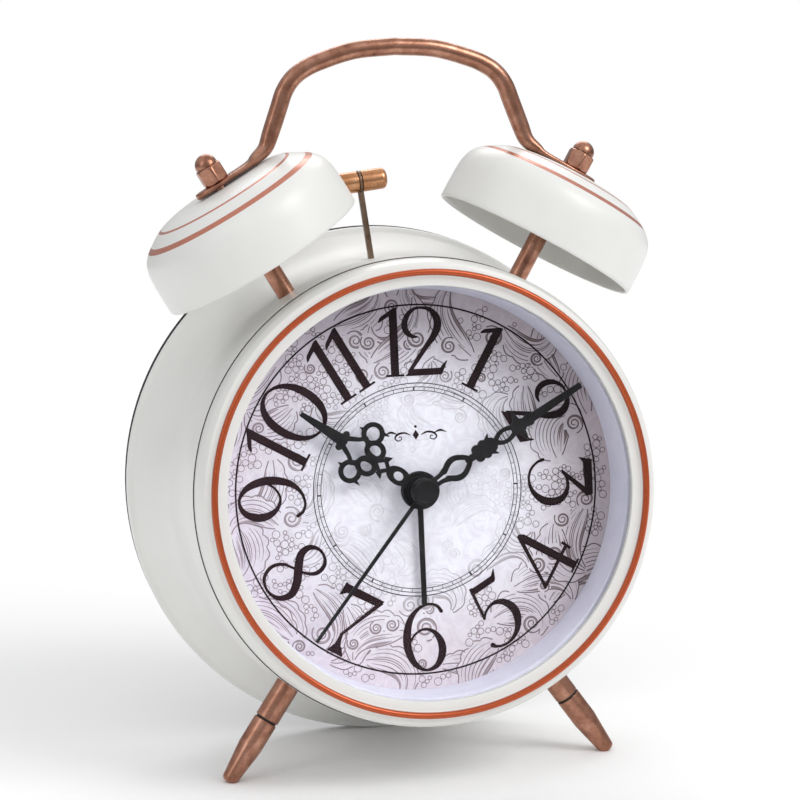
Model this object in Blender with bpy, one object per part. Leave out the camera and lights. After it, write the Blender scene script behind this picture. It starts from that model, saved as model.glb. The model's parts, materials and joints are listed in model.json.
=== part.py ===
"""Twin-bell alarm clock with a quartz movement and a motor-driven hammer, standing tilted back on two legs.

Everything is designed in the clock's own frame, in millimetres: X to the right, Y back along the dial's
axis and Z up, with the origin in the middle of the copper ring round the dial. The empty named clock
carries that frame, leans it back and stands it on the floor, and every object is its child. Flat and
turned pieces about the dial's axis are drawn in a face frame, whose Z points out of the dial, so a
height there is minus a depth behind the copper ring.
"""

import math

import bmesh
import bpy
from mathutils import Matrix, Vector

MM = 0.001
GAP = 0.3

# Stance
LEAN_BACK = math.radians(6.9)

# Case, along the dial's axis
CASE_R = 53.6
CASE_FRONT = 8.2
CASE_WALL = 1.2
FLARE_START = 38.0
RIM_R = 61.3
RIM_DEPTH = 58.9
CASE_BACK = 60.8
COVER_R = 60.8
COVER_FRONT = CASE_BACK + GAP
COVER_BACK = 62.3

# Bezel, lens, dial
COPPER_RING_R = 50.0
COPPER_RING_HALF = 0.8
OPENING_R = 46.9
LENS_FRONT = 2.5
LENS_BACK = 4.0
LENS_R = 48.2
DIAL_DEPTH = 15.7
DIAL_BACK = 16.3
DIAL_R = 48.2

# Bells, posts and handle: a pair of axes, one on each side, each in its own bell frame
BELL_ANGLE = math.radians(30.4)
BELL_LEAN = math.radians(3.0)
BELL_DEPTH = 26.5
POST_R = 2.15
POST_FOOT = 53.9
THREAD_R = 1.3
BELL_RIM = 63.9
BELL_R = 24.7
BELL_HEIGHT = 18.4
BELL_WALL = 0.9
TAB_THICKNESS = 1.2
TAB_HALF_WIDTH = 3.4
ROD_R = 2.0

# Legs
LEG_ANGLE = math.radians(35.0)
LEG_DEPTH = 24.4
LEG_R = 2.85
LEG_TOP = 54.0
LEG_TIP = 79.4

# Hammer
HAMMER_DEPTH = 37.0
PIVOT_HEIGHT = 20.0
HAMMER_REACH = 52.0
HAMMER_REST = math.radians(6.5)
HAMMER_SWING = math.radians(9.3)
SLOT_SPARE = 1.1
HEAD_R = 2.5
HEAD_HALF = 6.5
CRANK_HEIGHT = 32.0

# Movement: depth of each level of wheels, front face and thickness
WHEEL_THICKNESS = 1.0
LEVEL = {name: 19.2 + 1.8 * step for step, name in enumerate("ABCDEF")}
LEVEL["G"] = 29.8
MOTION_SPACING = 12.0
TRAIN_SPACING = 10.8
ALARM_SPACING = 15.0
ROTOR_SPACING = 7.6
BOX_HALF_X = 30.0
BOX_HALF_Z = 28.0
BOX_FRONT = 17.0
BOX_BACK = 31.0
PLATE_BACK = 32.6

# Hands: depth of each blade's front face
BLADE = 0.45
ALARM_HAND_DEPTH = 14.0
HOUR_HAND_DEPTH = 12.6
MINUTE_HAND_DEPTH = 11.2
SECOND_HAND_DEPTH = 9.9
SHOWN_TIME = 10 * 60 + 10
SHOWN_SECOND = 36.5
ALARM_SET = 6 * 60

# Batteries in the back cover
CELL_R = 7.1
CELL_LENGTH = 49.2
CELL_DEPTH = 50.4
CELL_HEIGHTS = (-17.0, -32.7)
CELL_SHIFT = 1.2
TRAY_HALF_X = 27.8
TRAY_TOP = -9.3
TRAY_BOTTOM = -40.4
TRAY_FRONT = 41.4
TRAY_WALL = 1.0
DOOR_FRONT = 60.4


def on_circle(radius, degrees):
    """Point in the face frame, measured from +X towards +Z of the clock."""
    turn = math.radians(degrees)
    return radius * math.cos(turn), radius * math.sin(turn)


MOTION_AXIS = on_circle(MOTION_SPACING, 30)
ALARM_AXIS = on_circle(ALARM_SPACING, 150)
THIRD_AXIS = on_circle(TRAIN_SPACING, 222)
RELAY_AXIS = on_circle(TRAIN_SPACING, 310)
ROTOR_AXIS = tuple(a + b for a, b in zip(RELAY_AXIS, on_circle(ROTOR_SPACING, -16)))
PILLARS = [on_circle(48.1, degrees) for degrees in (30, 150, 270)]
ALARM_SWITCH_AT = (-18.0, 34.0)
LIGHT_BUTTON_AT = (18.0, 34.0)

# The face frame seen from the clock frame: X stays, Y points up, Z points out of the dial.
FACE = Matrix(((1, 0, 0, 0), (0, 0, -1, 0), (0, 1, 0, 0), (0, 0, 0, 1)))

for old in list(bpy.data.objects):
    bpy.data.objects.remove(old)

clock = bpy.data.objects.new("clock", None)
clock.rotation_euler = (-LEAN_BACK, 0, 0)
bpy.context.scene.collection.objects.link(clock)


# ---------------------------------------------------------------- materials


def material(name, colour, roughness, metallic=0.0):
    made = bpy.data.materials.new(name)
    made.use_nodes = True
    shader = made.node_tree.nodes["Principled BSDF"]
    shader.inputs["Base Color"].default_value = (*colour, 1)
    shader.inputs["Roughness"].default_value = roughness
    shader.inputs["Metallic"].default_value = metallic
    made.diffuse_color = (*colour, 1)
    return made


WHITE_PAINT = material("white_paint", (0.83, 0.83, 0.80), 0.35)
COPPER = material("antique_copper", (0.35, 0.14, 0.08), 0.35, 1.0)
COPPER_PAINT = material("copper_paint", (0.50, 0.09, 0.03), 0.35, 0.4)
BLACK_PLASTIC = material("black_plastic", (0.02, 0.02, 0.02), 0.45)
WHITE_PLASTIC = material("white_plastic", (0.75, 0.74, 0.70), 0.5)
BLACK_PAINT = material("black_paint", (0.01, 0.01, 0.01), 0.4)
PRINTED = material("printed_dial", (0.62, 0.58, 0.62), 0.6)
CLEAR = material("clear_lens", (0.9, 0.93, 0.95), 0.05)
STEEL = material("steel", (0.55, 0.55, 0.56), 0.3, 1.0)
BRASS = material("brass", (0.60, 0.42, 0.15), 0.3, 1.0)
GEAR_PLASTIC = material("gear_plastic", (0.80, 0.78, 0.70), 0.5)
BOARD = material("circuit_board", (0.05, 0.22, 0.08), 0.5)
CELL_SLEEVE = material("battery_sleeve", (0.05, 0.09, 0.20), 0.4)


# ---------------------------------------------------------------- building blocks


def place(name, bm, paint, matrix, angle_limit=35):
    """Closes off a bmesh drawn in millimetres as an object whose frame in the clock is matrix."""
    bmesh.ops.recalc_face_normals(bm, faces=bm.faces)
    bmesh.ops.scale(bm, vec=(MM, MM, MM), verts=bm.verts)
    mesh = bpy.data.meshes.new(name)
    bm.to_mesh(mesh)
    bm.free()
    mesh.shade_smooth()
    mesh.set_sharp_from_angle(angle=math.radians(angle_limit))
    mesh.materials.append(paint)
    made = bpy.data.objects.new(name, mesh)
    bpy.context.scene.collection.objects.link(made)
    made.parent = clock
    made.matrix_local = Matrix.Translation(matrix.translation * MM) @ matrix.to_3x3().to_4x4()
    return made


def face_frame(at=(0, 0)):
    return Matrix.Translation((at[0], 0, at[1])) @ FACE


def side_frame(side, angle, lean, depth, downwards=False):
    """Frame on the case's axis: Z points out along a post or leg, and Y back."""
    up = -1 if downwards else 1
    outwards = Vector(
        (side * math.sin(angle) * math.cos(lean), -math.sin(lean), up * math.cos(angle) * math.cos(lean))
    )
    back = Vector((0, 1, 0))
    back = (back - outwards * back.dot(outwards)).normalized()
    across = back.cross(outwards)
    turn = Matrix((across, back, outwards)).transposed().to_4x4()
    return Matrix.Translation((0, depth, 0)) @ turn


def lathe(bm, profile, sides, closed=True):
    """Turns (radius, height) points about Z. A radius of 0 makes a pole. Returns the first ring."""
    rings = []
    for radius, height in profile:
        if radius < 1e-6:
            rings.append([bm.verts.new((0, 0, height))])
            continue
        turns = [2 * math.pi * i / sides for i in range(sides)]
        rings.append([bm.verts.new((radius * math.cos(t), radius * math.sin(t), height)) for t in turns])
    pairs = list(zip(rings, rings[1:]))
    if closed and len(rings[0]) > 1 and len(rings[-1]) > 1:
        pairs.append((rings[-1], rings[0]))
    for low, high in pairs:
        for i in range(sides):
            j = (i + 1) % sides
            if len(low) == 1:
                bm.faces.new((low[0], high[j], high[i]))
            elif len(high) == 1:
                bm.faces.new((low[i], low[j], high[0]))
            else:
                bm.faces.new((low[i], low[j], high[j], high[i]))
    return rings[0]


def turned(name, profile, paint, matrix, sides=32):
    bm = bmesh.new()
    lathe(bm, profile, sides)
    return place(name, bm, paint, matrix)


def by_depth(profile):
    """A profile of (radius, depth) points, as the face frame's (radius, height)."""
    return [(radius, -depth) for radius, depth in profile]


def circle(radius, sides, at=(0, 0), start=0.0):
    turns = [start + 2 * math.pi * i / sides for i in range(sides)]
    return [(at[0] + radius * math.cos(t), at[1] + radius * math.sin(t)) for t in turns]


def rectangle(low, high):
    return [(low[0], low[1]), (high[0], low[1]), (high[0], high[1]), (low[0], high[1])]


def wall(bm, outline, low, high):
    """The sides of a prism. Returns its rings of edges at the two heights."""
    rings = []
    for height in (low, high):
        rings.append([bm.verts.new((x, y, height)) for x, y in outline])
    count = len(outline)
    for i in range(count):
        j = (i + 1) % count
        bm.faces.new((rings[0][i], rings[0][j], rings[1][j], rings[1][i]))
    return [ring_edges(bm, ring) for ring in rings]


def ring_edges(bm, ring):
    return [bm.edges.get((a, b)) or bm.edges.new((a, b)) for a, b in zip(ring, ring[1:] + ring[:1])]


def cap(bm, *rings):
    """Fills one flat level between an outline and the outlines inside it."""
    edges = [edge for ring in rings for edge in ring]
    bmesh.ops.triangle_fill(bm, use_beauty=True, use_dissolve=False, edges=edges, normal=(0, 0, 1))


def stack(bm, layers, bore=None):
    """Prisms on top of each other: (outline, low, high) from the lowest up, each step nested in the other."""
    through = wall(bm, bore, layers[0][1], layers[-1][2]) if bore else None
    walls = [wall(bm, *layer) for layer in layers]
    cap(bm, walls[0][0], *([through[0]] if bore else []))
    for lower, upper in zip(walls, walls[1:]):
        cap(bm, lower[1], upper[0])
    cap(bm, walls[-1][1], *([through[1]] if bore else []))


def teeth(count, pitch_radius, facing):
    """Outline of a gear with flat-topped teeth, one of them centred on the angle facing."""
    module = 2 * pitch_radius / count
    tip = pitch_radius + 0.55 * module
    root = pitch_radius - 0.95 * module
    points = []
    for tooth in range(count):
        middle = facing + 2 * math.pi * tooth / count
        quarter = 2 * math.pi / count
        points.append((tip, middle - 0.07 * quarter))
        points.append((tip, middle + 0.07 * quarter))
        points.append((root, middle + 0.5 * quarter))
    return [(r * math.cos(t), r * math.sin(t)) for r, t in points]


def towards(start, end):
    return math.atan2(end[1] - start[1], end[0] - start[0])


def level(name):
    """Heights of a level's wheel in the face frame, lowest first."""
    return -(LEVEL[name] + WHEEL_THICKNESS), -LEVEL[name]


def tube(bm, path, radius, sides, spread=None):
    """A rod along a path: each ring lies across it, and spread gives its two half sizes when it isn't round."""
    rings = []
    for i, point in enumerate(path):
        ahead = path[min(i + 1, len(path) - 1)] - path[max(i - 1, 0)]
        ahead.normalize()
        side = Vector((0, 1, 0)) if abs(ahead.y) < 0.9 else Vector((1, 0, 0))
        side = (side - ahead * side.dot(ahead)).normalized()
        other = ahead.cross(side)
        wide, thick = spread[i] if spread else (radius, radius)
        ring = []
        for j in range(sides):
            turn = 2 * math.pi * j / sides
            ring.append(bm.verts.new(point + side * wide * math.cos(turn) + other * thick * math.sin(turn)))
        rings.append(ring)
    for low, high in zip(rings, rings[1:]):
        for i in range(sides):
            j = (i + 1) % sides
            bm.faces.new((low[i], low[j], high[j], high[i]))
    bm.faces.new(rings[0])
    bm.faces.new(rings[-1])


def cutter(bm, matrix, target, operation="DIFFERENCE"):
    """A hidden helper that cuts or joins its shape with the target."""
    helper = place(f"{target.name}_tool_{len(target.modifiers)}", bm, target.data.materials[0], matrix)
    helper.hide_render = True
    helper.display_type = "WIRE"
    step = target.modifiers.new("tool", "BOOLEAN")
    step.operation = operation
    step.object = helper


def drill(target, matrix, radius, low, high, sides=16):
    bm = bmesh.new()
    lathe(bm, [(0, low), (radius, low), (radius, high), (0, high)], sides)
    cutter(bm, matrix, target)


def hexagon(across_flats):
    return circle(across_flats / math.sqrt(3), 6)


def side_name(side):
    return "left" if side < 0 else "right"


# ---------------------------------------------------------------- case and front


def case_outline():
    """Outer profile of the case, from the seam with the bezel to the bead round the back."""
    points = [(CASE_R, CASE_FRONT), (CASE_R, FLARE_START)]
    flare_end = (RIM_R - 1.2, RIM_DEPTH - 1.7)
    for step in range(1, 5):
        part = step / 4
        radius = CASE_R + (flare_end[0] - CASE_R) * part**1.9
        points.append((radius, FLARE_START + (flare_end[1] - FLARE_START) * part))
    points += [(RIM_R - 0.3, RIM_DEPTH - 0.9), (RIM_R, RIM_DEPTH)]
    points += [(RIM_R - 0.5, RIM_DEPTH + 1.3), (RIM_R - 1.5, CASE_BACK)]
    return points


def build_case():
    outer = case_outline()
    inner = [(RIM_R - 2.9, CASE_BACK), (RIM_R - 3.2, RIM_DEPTH - 1.2)]
    inner += [(radius - CASE_WALL, depth + 0.3) for radius, depth in reversed(outer[1:5])]
    inner += [(CASE_R - CASE_WALL, CASE_FRONT)]
    shell = turned("case_shell", by_depth(outer + inner), WHITE_PAINT, face_frame(), sides=40)
    for side in (-1, 1):
        drill(shell, side_frame(side, BELL_ANGLE, BELL_LEAN, BELL_DEPTH), 1.8, 48, 58)
        drill(shell, side_frame(side, LEG_ANGLE, 0, LEG_DEPTH, True), 2.3, 48, 58)
    slot = bmesh.new()
    half = (CASE_R - PIVOT_HEIGHT) * math.tan(HAMMER_SWING) + SLOT_SPARE
    stack(slot, [(rectangle((-half, HAMMER_DEPTH - 1.3), (half, HAMMER_DEPTH + 1.3)), 48, 58)])
    cutter(slot, Matrix.Identity(4), shell)


def build_bezel():
    profile = [
        (CASE_R, CASE_FRONT - GAP), (CASE_R - 0.5, 4.6), (CASE_R - 1.5, 2.2), (CASE_R - 2.3, 1.1),
        (COPPER_RING_R + 1.1, 0.7), (OPENING_R + 0.4, 0.7), (OPENING_R, 1.0), (OPENING_R, LENS_FRONT - GAP),
        (LENS_R + 0.4, LENS_FRONT - GAP), (LENS_R + 0.4, LENS_BACK), (CASE_R - 2.7, LENS_BACK + 0.6),
        (CASE_R - 2.9, 10.6), (CASE_R - CASE_WALL - 0.4, 10.6), (CASE_R - CASE_WALL - 0.4, CASE_FRONT - GAP),
    ]  # fmt: skip
    turned("bezel", by_depth(profile), WHITE_PAINT, face_frame(), sides=40)


def build_copper_ring():
    back = 0.35
    low = COPPER_RING_R - COPPER_RING_HALF
    high = COPPER_RING_R + COPPER_RING_HALF
    profile = [(low, back), (low, -0.1), (COPPER_RING_R - 0.35, -0.7), (COPPER_RING_R + 0.35, -0.7)]
    profile += [(high, -0.1), (high, back)]
    turned("copper_ring", by_depth(profile), COPPER_PAINT, face_frame(), sides=40)


def build_lens():
    profile = [(0, LENS_FRONT), (LENS_R, LENS_FRONT), (LENS_R, LENS_BACK), (0, LENS_BACK)]
    turned("lens", by_depth(profile), CLEAR, face_frame(), sides=40)


def build_inner_ring():
    front = LENS_BACK + GAP
    back = DIAL_DEPTH - GAP
    profile = [
        (OPENING_R - 0.2, front), (LENS_R, front), (LENS_R, front + 0.8), (OPENING_R + 0.7, front + 0.9),
        (OPENING_R, back), (OPENING_R - 0.9, back),
    ]  # fmt: skip
    turned("inner_ring", by_depth(profile), WHITE_PLASTIC, face_frame(), sides=32)


def build_dial():
    bm = bmesh.new()
    stack(bm, [(circle(DIAL_R, 36), -DIAL_BACK, -DIAL_DEPTH)], bore=circle(3.7, 20))
    place("dial", bm, PRINTED, face_frame())


def build_chassis():
    """Plate behind the dial with a window for the movement, and three pillars back to the cover."""
    front, back = DIAL_BACK + GAP, DIAL_BACK + GAP + 1.2
    bm = bmesh.new()
    edge = wall(bm, circle(CASE_R - CASE_WALL - 0.7, 32), -back, -front)
    window = rectangle((-BOX_HALF_X - 0.5, -BOX_HALF_Z - 0.5), (BOX_HALF_X + 0.5, BOX_HALF_Z + 0.5))
    hole = wall(bm, window, -back, -front)
    cap(bm, edge[1], hole[1])
    feet = []
    for x, z in PILLARS:
        pillar = wall(bm, circle(2.8, 10, (x, z)), -(CASE_BACK - 0.6), -back)
        socket = wall(bm, circle(1.45, 10, (x, z)), -(CASE_BACK - 0.6), -(CASE_BACK - 9))
        cap(bm, pillar[0], socket[0])
        cap(bm, socket[1])
        feet.append(pillar[1])
    cap(bm, edge[0], hole[0], *feet)
    place("chassis", bm, BLACK_PLASTIC, face_frame())


# ---------------------------------------------------------------- bells, posts, handle, legs


def bell_frame(side, along=0.0):
    return side_frame(side, BELL_ANGLE, BELL_LEAN, BELL_DEPTH) @ Matrix.Translation((0, 0, along))


def build_bell(side):
    outer = [
        (BELL_R, 0), (BELL_R, 4.5), (BELL_R - 0.2, 9.0), (BELL_R - 0.9, 11.8), (BELL_R - 2.1, 13.6),
        (21.0, 14.9), (17.0, 17.2), (12.5, BELL_HEIGHT - 0.2), (8.0, BELL_HEIGHT), (1.75, BELL_HEIGHT),
    ]  # fmt: skip
    inner = [
        (1.75, BELL_HEIGHT - BELL_WALL), (12.0, BELL_HEIGHT - BELL_WALL - 0.2), (16.6, 16.2),
        (20.3, 14.0), (BELL_R - 2.0, 11.6), (BELL_R - 1.1, 8.6), (BELL_R - BELL_WALL, 0),
    ]  # fmt: skip
    turned(f"{side_name(side)}_bell", outer + inner, WHITE_PAINT, bell_frame(side, BELL_RIM), sides=28)


def build_post(side):
    shoulder = BELL_RIM + BELL_HEIGHT - BELL_WALL - GAP
    thread_end = BELL_RIM + BELL_HEIGHT + TAB_THICKNESS + 4.6
    profile = [
        (0, POST_FOOT - 6.5), (THREAD_R, POST_FOOT - 6.5), (THREAD_R, POST_FOOT + 0.1), (POST_R, POST_FOOT + 0.1),
        (POST_R, shoulder), (THREAD_R, shoulder), (THREAD_R, thread_end), (0, thread_end),
    ]  # fmt: skip
    turned(f"{side_name(side)}_bell_post", profile, COPPER, bell_frame(side), sides=16)


def nut(name, across_flats, height, bore, paint, matrix):
    bm = bmesh.new()
    stack(bm, [(hexagon(across_flats), 0, height)], bore=circle(bore, 12))
    place(name, bm, paint, matrix)


def build_acorn_nut(side):
    """Hexagon with a domed cap, and a blind bore over the post's thread."""
    height, dome = 4.1, 2.55
    bm = bmesh.new()
    body = wall(bm, hexagon(5.6), 0, height)
    bore = wall(bm, circle(1.6, 12), 0, 4.6)
    cap(bm, body[0], bore[0])
    cap(bm, bore[1])
    arc = [math.radians(22.5 * step) for step in range(4)]
    profile = [(dome * math.cos(t), height + 0.3 + dome * 0.95 * math.sin(t)) for t in arc]
    profile = [(dome, height)] + profile + [(0, height + 0.3 + dome * 0.95)]
    foot = lathe(bm, profile, 20)
    cap(bm, body[1], ring_edges(bm, foot))
    seat = BELL_RIM + BELL_HEIGHT + GAP + TAB_THICKNESS + GAP
    place(f"{side_name(side)}_acorn_nut", bm, COPPER, bell_frame(side, seat))


def handle_path():
    """Right half of the handle's centre line in the bells' plane, as (x, height), from the top down."""
    crown = [(0, 101.9), (9.5, 101.2), (17.6, 98.9)]
    corner = [(21.6, 97.1), (24.3, 95.0), (26.2, 92.2)]
    stem = [(27.4, 89.0), (29.6, 83.0), (31.2, 79.2)]
    return crown + corner + stem


def build_handle():
    """Bent rod whose ends are pressed flat into tabs that lie on the bells."""
    top = BELL_RIM + BELL_HEIGHT + GAP + TAB_THICKNESS / 2
    slide = Vector((math.cos(BELL_ANGLE), -math.sin(BELL_ANGLE)))
    post = Vector((math.sin(BELL_ANGLE), math.cos(BELL_ANGLE))) * top
    tab = [(post + slide * along, wide) for along, wide in ((-8.2, 2.7), (-5.0, 3.3), (0, TAB_HALF_WIDTH))]
    tab += [(post + slide * along, wide) for along, wide in ((3.2, 3.2), (4.9, 2.3), (5.6, 1.2))]
    half = [(Vector(point), (ROD_R, ROD_R)) for point in handle_path()]
    half += [(post + slide * -9.6, (2.2, 1.2))]
    half += [(point, (wide, TAB_THICKNESS / 2)) for point, wide in tab]
    whole = [(Vector((-p.x, p.y)), s) for p, s in reversed(half[1:])] + half
    back = BELL_DEPTH
    path = [Vector((p.x, back - p.y * math.tan(BELL_LEAN) / math.cos(BELL_ANGLE), p.y)) for p, _ in whole]
    bm = bmesh.new()
    tube(bm, path, ROD_R, 10, [size for _, size in whole])
    handle = place("handle", bm, COPPER, Matrix.Identity(4))
    for side in (-1, 1):
        drill(handle, bell_frame(side), 1.65, top - 2, top + 2)


def build_leg(side):
    frame = side_frame(side, LEG_ANGLE, 0, LEG_DEPTH, True)
    profile = [
        (0, LEG_TOP - 6), (1.8, LEG_TOP - 6), (1.8, LEG_TOP), (LEG_R, LEG_TOP), (LEG_R, 62.6), (2.35, 62.9),
        (2.35, 63.9), (LEG_R, 64.2), (LEG_R - 0.1, 71.5), (LEG_R - 0.5, 75.0), (1.75, 78.6), (1.1, LEG_TIP),
        (0, LEG_TIP),
    ]  # fmt: skip
    bm = bmesh.new()
    lathe(bm, profile, 14)
    up = Vector((0, -math.sin(LEAN_BACK), math.cos(LEAN_BACK)))
    to_leg = frame.inverted()
    floor_point = to_leg @ (up * floor_height())
    floor_normal = to_leg.to_3x3() @ up
    everything = bm.verts[:] + bm.edges[:] + bm.faces[:]
    cut = bmesh.ops.bisect_plane(
        bm, geom=everything, dist=1e-5, plane_co=floor_point, plane_no=floor_normal, clear_inner=True
    )
    rim = [item for item in cut["geom_cut"] if isinstance(item, bmesh.types.BMEdge)]
    bmesh.ops.triangle_fill(bm, use_beauty=True, use_dissolve=False, edges=rim, normal=floor_normal)
    place(f"{side_name(side)}_leg", bm, COPPER, frame)


def floor_height():
    """Height of the floor in the leaning clock: the lowest point of the bead round the case's back."""
    return min(-depth * math.sin(LEAN_BACK) - radius * math.cos(LEAN_BACK) for radius, depth in case_outline())


def build_inside_nuts(side):
    inside = CASE_R - CASE_WALL - 0.6
    post_seat = bell_frame(side, inside - 2.2)
    nut(f"{side_name(side)}_post_nut", 5.5, 2.2, 1.6, STEEL, post_seat)
    leg_seat = side_frame(side, LEG_ANGLE, 0, LEG_DEPTH, True) @ Matrix.Translation((0, 0, inside - 2.6))
    nut(f"{side_name(side)}_leg_nut", 7.0, 2.6, 2.1, STEEL, leg_seat)


# ---------------------------------------------------------------- hammer


def build_hammer():
    pin = Matrix.Translation((0, 0, PIVOT_HEIGHT)) @ FACE
    bore, hub = 1.4, 3.0
    front, back = HAMMER_DEPTH - 0.6, HAMMER_DEPTH + 0.6
    lean = Matrix.Rotation(HAMMER_REST, 4, "Z")

    arm = bmesh.new()
    stack(arm, [(circle(hub, 16), -back, -front)], bore=circle(bore, 12))
    arm_object = place("hammer_arm", arm, COPPER, pin @ lean)
    strip = bmesh.new()
    stack(strip, [(rectangle((-0.65, bore + 0.5), (0.65, HAMMER_REACH - 2.25)), -back + 0.1, -front - 0.1)])
    cutter(strip, pin @ lean, arm_object, "UNION")
    eye = bmesh.new()
    lathe(eye, [(2.0, -0.45), (2.0, 0.45), (2.6, 0.45), (2.6, -0.45)], 20)
    head_frame = Matrix.Translation((0, HAMMER_REACH, -HAMMER_DEPTH)) @ Matrix.Rotation(math.pi / 2, 4, "Y")
    cutter(eye, pin @ lean @ head_frame, arm_object, "UNION")

    half = HEAD_HALF
    profile = [
        (0, -half), (1.3, -half + 0.15), (2.2, -half + 0.8), (HEAD_R, -half + 1.8), (HEAD_R, -0.85), (1.6, -0.85),
        (1.6, 0.85), (HEAD_R, 0.85), (HEAD_R, half - 1.8), (2.2, half - 0.8), (1.3, half - 0.15), (0, half),
    ]  # fmt: skip
    head = bmesh.new()
    lathe(head, profile, 16)
    bmesh.ops.transform(head, matrix=head_frame, verts=head.verts)
    place("hammer_head", head, COPPER, pin @ lean)
    pivot = [(0, -HAMMER_DEPTH - 2), (1.05, -HAMMER_DEPTH - 2), (1.05, -PLATE_BACK - GAP), (0, -PLATE_BACK - GAP)]
    turned("hammer_pivot_pin", pivot, STEEL, pin, sides=12)


def build_motor():
    at = face_frame((0, CRANK_HEIGHT))
    shell = [(0, 59.0), (2.4, 59.0), (2.4, 58.0), (7.6, 58.0), (7.6, 43.4), (3.0, 43.4), (3.0, 42.6), (0.75, 42.6)]
    shell += [(0.75, 40.3), (0, 40.3)]
    turned("hammer_motor", by_depth(shell), STEEL, at, sides=18)

    bm = bmesh.new()
    disc = wall(bm, circle(4.2, 20), -40.0, -39.0)
    crank_pin = wall(bm, circle(0.6, 8, (0, 2.0)), -39.0, -38.3)
    cap(bm, disc[0])
    cap(bm, disc[1], crank_pin[0])
    cap(bm, crank_pin[1])
    place("motor_crank", bm, GEAR_PLASTIC, at)

    plate_front, plate_back = 41.0, 42.2
    bm = bmesh.new()
    low, high = (-11.5, -9.5), (11.5, 9.5)
    plate = wall(bm, rectangle(low, high), -plate_back, -plate_front)
    shaft_hole = wall(bm, circle(1.3, 12), -plate_back, -plate_front)
    legs = []
    for x in (-10.3, 8.3):
        leg = wall(bm, rectangle((x, -8.5), (x + 2.0, -4.5)), -plate_front, -(PLATE_BACK + GAP))
        cap(bm, leg[1])
        legs.append(leg[0])
    cap(bm, plate[0], shaft_hole[0])
    cap(bm, plate[1], shaft_hole[1], *legs)
    place("motor_bracket", bm, STEEL, at)


# ---------------------------------------------------------------- movement


def build_movement_box():
    bm = bmesh.new()
    half = Vector((BOX_HALF_X, BOX_HALF_Z))
    inside = half - Vector((1.5, 1.5))
    outer = wall(bm, rectangle(-half, half), -BOX_BACK, -BOX_FRONT)
    floor = BOX_FRONT + 1.5
    inner = wall(bm, rectangle(-inside, inside), -BOX_BACK, -floor)
    hole = wall(bm, circle(3.6, 20), -floor, -BOX_FRONT)
    cap(bm, outer[0], inner[0])
    cap(bm, inner[1], hole[0])
    cap(bm, outer[1], hole[1])
    place("movement_housing", bm, WHITE_PLASTIC, face_frame())

    bm = bmesh.new()
    levels = -PLATE_BACK, -(BOX_BACK + GAP)
    edge = wall(bm, rectangle(-half, half), *levels)
    holes = [wall(bm, circle(2.0, 14, at), *levels) for at in (MOTION_AXIS, ALARM_AXIS)]
    cap(bm, edge[0], *[hole[0] for hole in holes])
    cap(bm, edge[1], *[hole[1] for hole in holes])
    place("movement_cover", bm, WHITE_PLASTIC, face_frame())


def arbor(radius, deep, shallow, sides=10):
    return circle(radius, sides), -deep, -shallow


def build_second_wheel():
    relay_way = towards((0, 0), RELAY_AXIS)
    wheel = teeth(48, TRAIN_SPACING * 48 / 54, relay_way)
    pinion = teeth(6, TRAIN_SPACING * 6 / 51, towards((0, 0), THIRD_AXIS))
    bm = bmesh.new()
    stack(bm, [
        arbor(0.5, 30.9, LEVEL["F"] + WHEEL_THICKNESS), (wheel, *level("F")),
        arbor(0.6, LEVEL["F"], LEVEL["E"] + WHEEL_THICKNESS + 0.2, 6),
        (pinion, -(LEVEL["E"] + WHEEL_THICKNESS + 0.2), -LEVEL["E"]),
        arbor(0.5, LEVEL["E"], SECOND_HAND_DEPTH + BLADE + GAP, 8),
    ])  # fmt: skip
    place("second_wheel", bm, GEAR_PLASTIC, face_frame())


def build_third_wheel():
    centre_way = towards(THIRD_AXIS, (0, 0))
    wheel = teeth(45, TRAIN_SPACING * 45 / 51, centre_way + math.pi / 45)
    pinion = teeth(6, TRAIN_SPACING * 6 / 54, centre_way)
    bm = bmesh.new()
    stack(bm, [
        arbor(0.5, 27.9, LEVEL["E"] + WHEEL_THICKNESS), (wheel, *level("E")),
        arbor(0.6, LEVEL["E"], LEVEL["D"] + WHEEL_THICKNESS + 0.2, 6),
        (pinion, -(LEVEL["D"] + WHEEL_THICKNESS + 0.2), -LEVEL["D"]), arbor(0.5, LEVEL["D"], 24.0),
    ])  # fmt: skip
    place("third_wheel", bm, GEAR_PLASTIC, face_frame(THIRD_AXIS))


def build_centre_wheel():
    wheel = teeth(48, TRAIN_SPACING * 48 / 54, towards((0, 0), THIRD_AXIS) + math.pi / 48)
    bm = bmesh.new()
    stack(bm, [(wheel, *level("D"))], bore=circle(1.75, 12))
    place("centre_wheel", bm, BRASS, face_frame())


def build_cannon_pinion():
    pinion = teeth(10, MOTION_SPACING * 10 / 40, towards((0, 0), MOTION_AXIS))
    bm = bmesh.new()
    stack(bm, [
        arbor(1.35, 25.9, LEVEL["C"] + WHEEL_THICKNESS, 12), (pinion, *level("C")),
        arbor(1.3, LEVEL["C"], MINUTE_HAND_DEPTH - 0.3, 12),
    ], bore=circle(0.85, 10))  # fmt: skip
    place("cannon_pinion", bm, BRASS, face_frame())


def build_motion_wheel():
    centre_way = towards(MOTION_AXIS, (0, 0))
    wheel = teeth(30, MOTION_SPACING * 30 / 40, centre_way + math.pi / 30)
    pinion = teeth(9, MOTION_SPACING * 9 / 45, centre_way)
    bm = bmesh.new()
    stack(bm, [
        arbor(1.2, PLATE_BACK + 1.5, LEVEL["C"] + WHEEL_THICKNESS), (wheel, *level("C")),
        (pinion, -LEVEL["C"], -LEVEL["B"]), arbor(0.8, LEVEL["B"], 19.0),
    ])  # fmt: skip
    place("motion_wheel", bm, GEAR_PLASTIC, face_frame(MOTION_AXIS))


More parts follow.
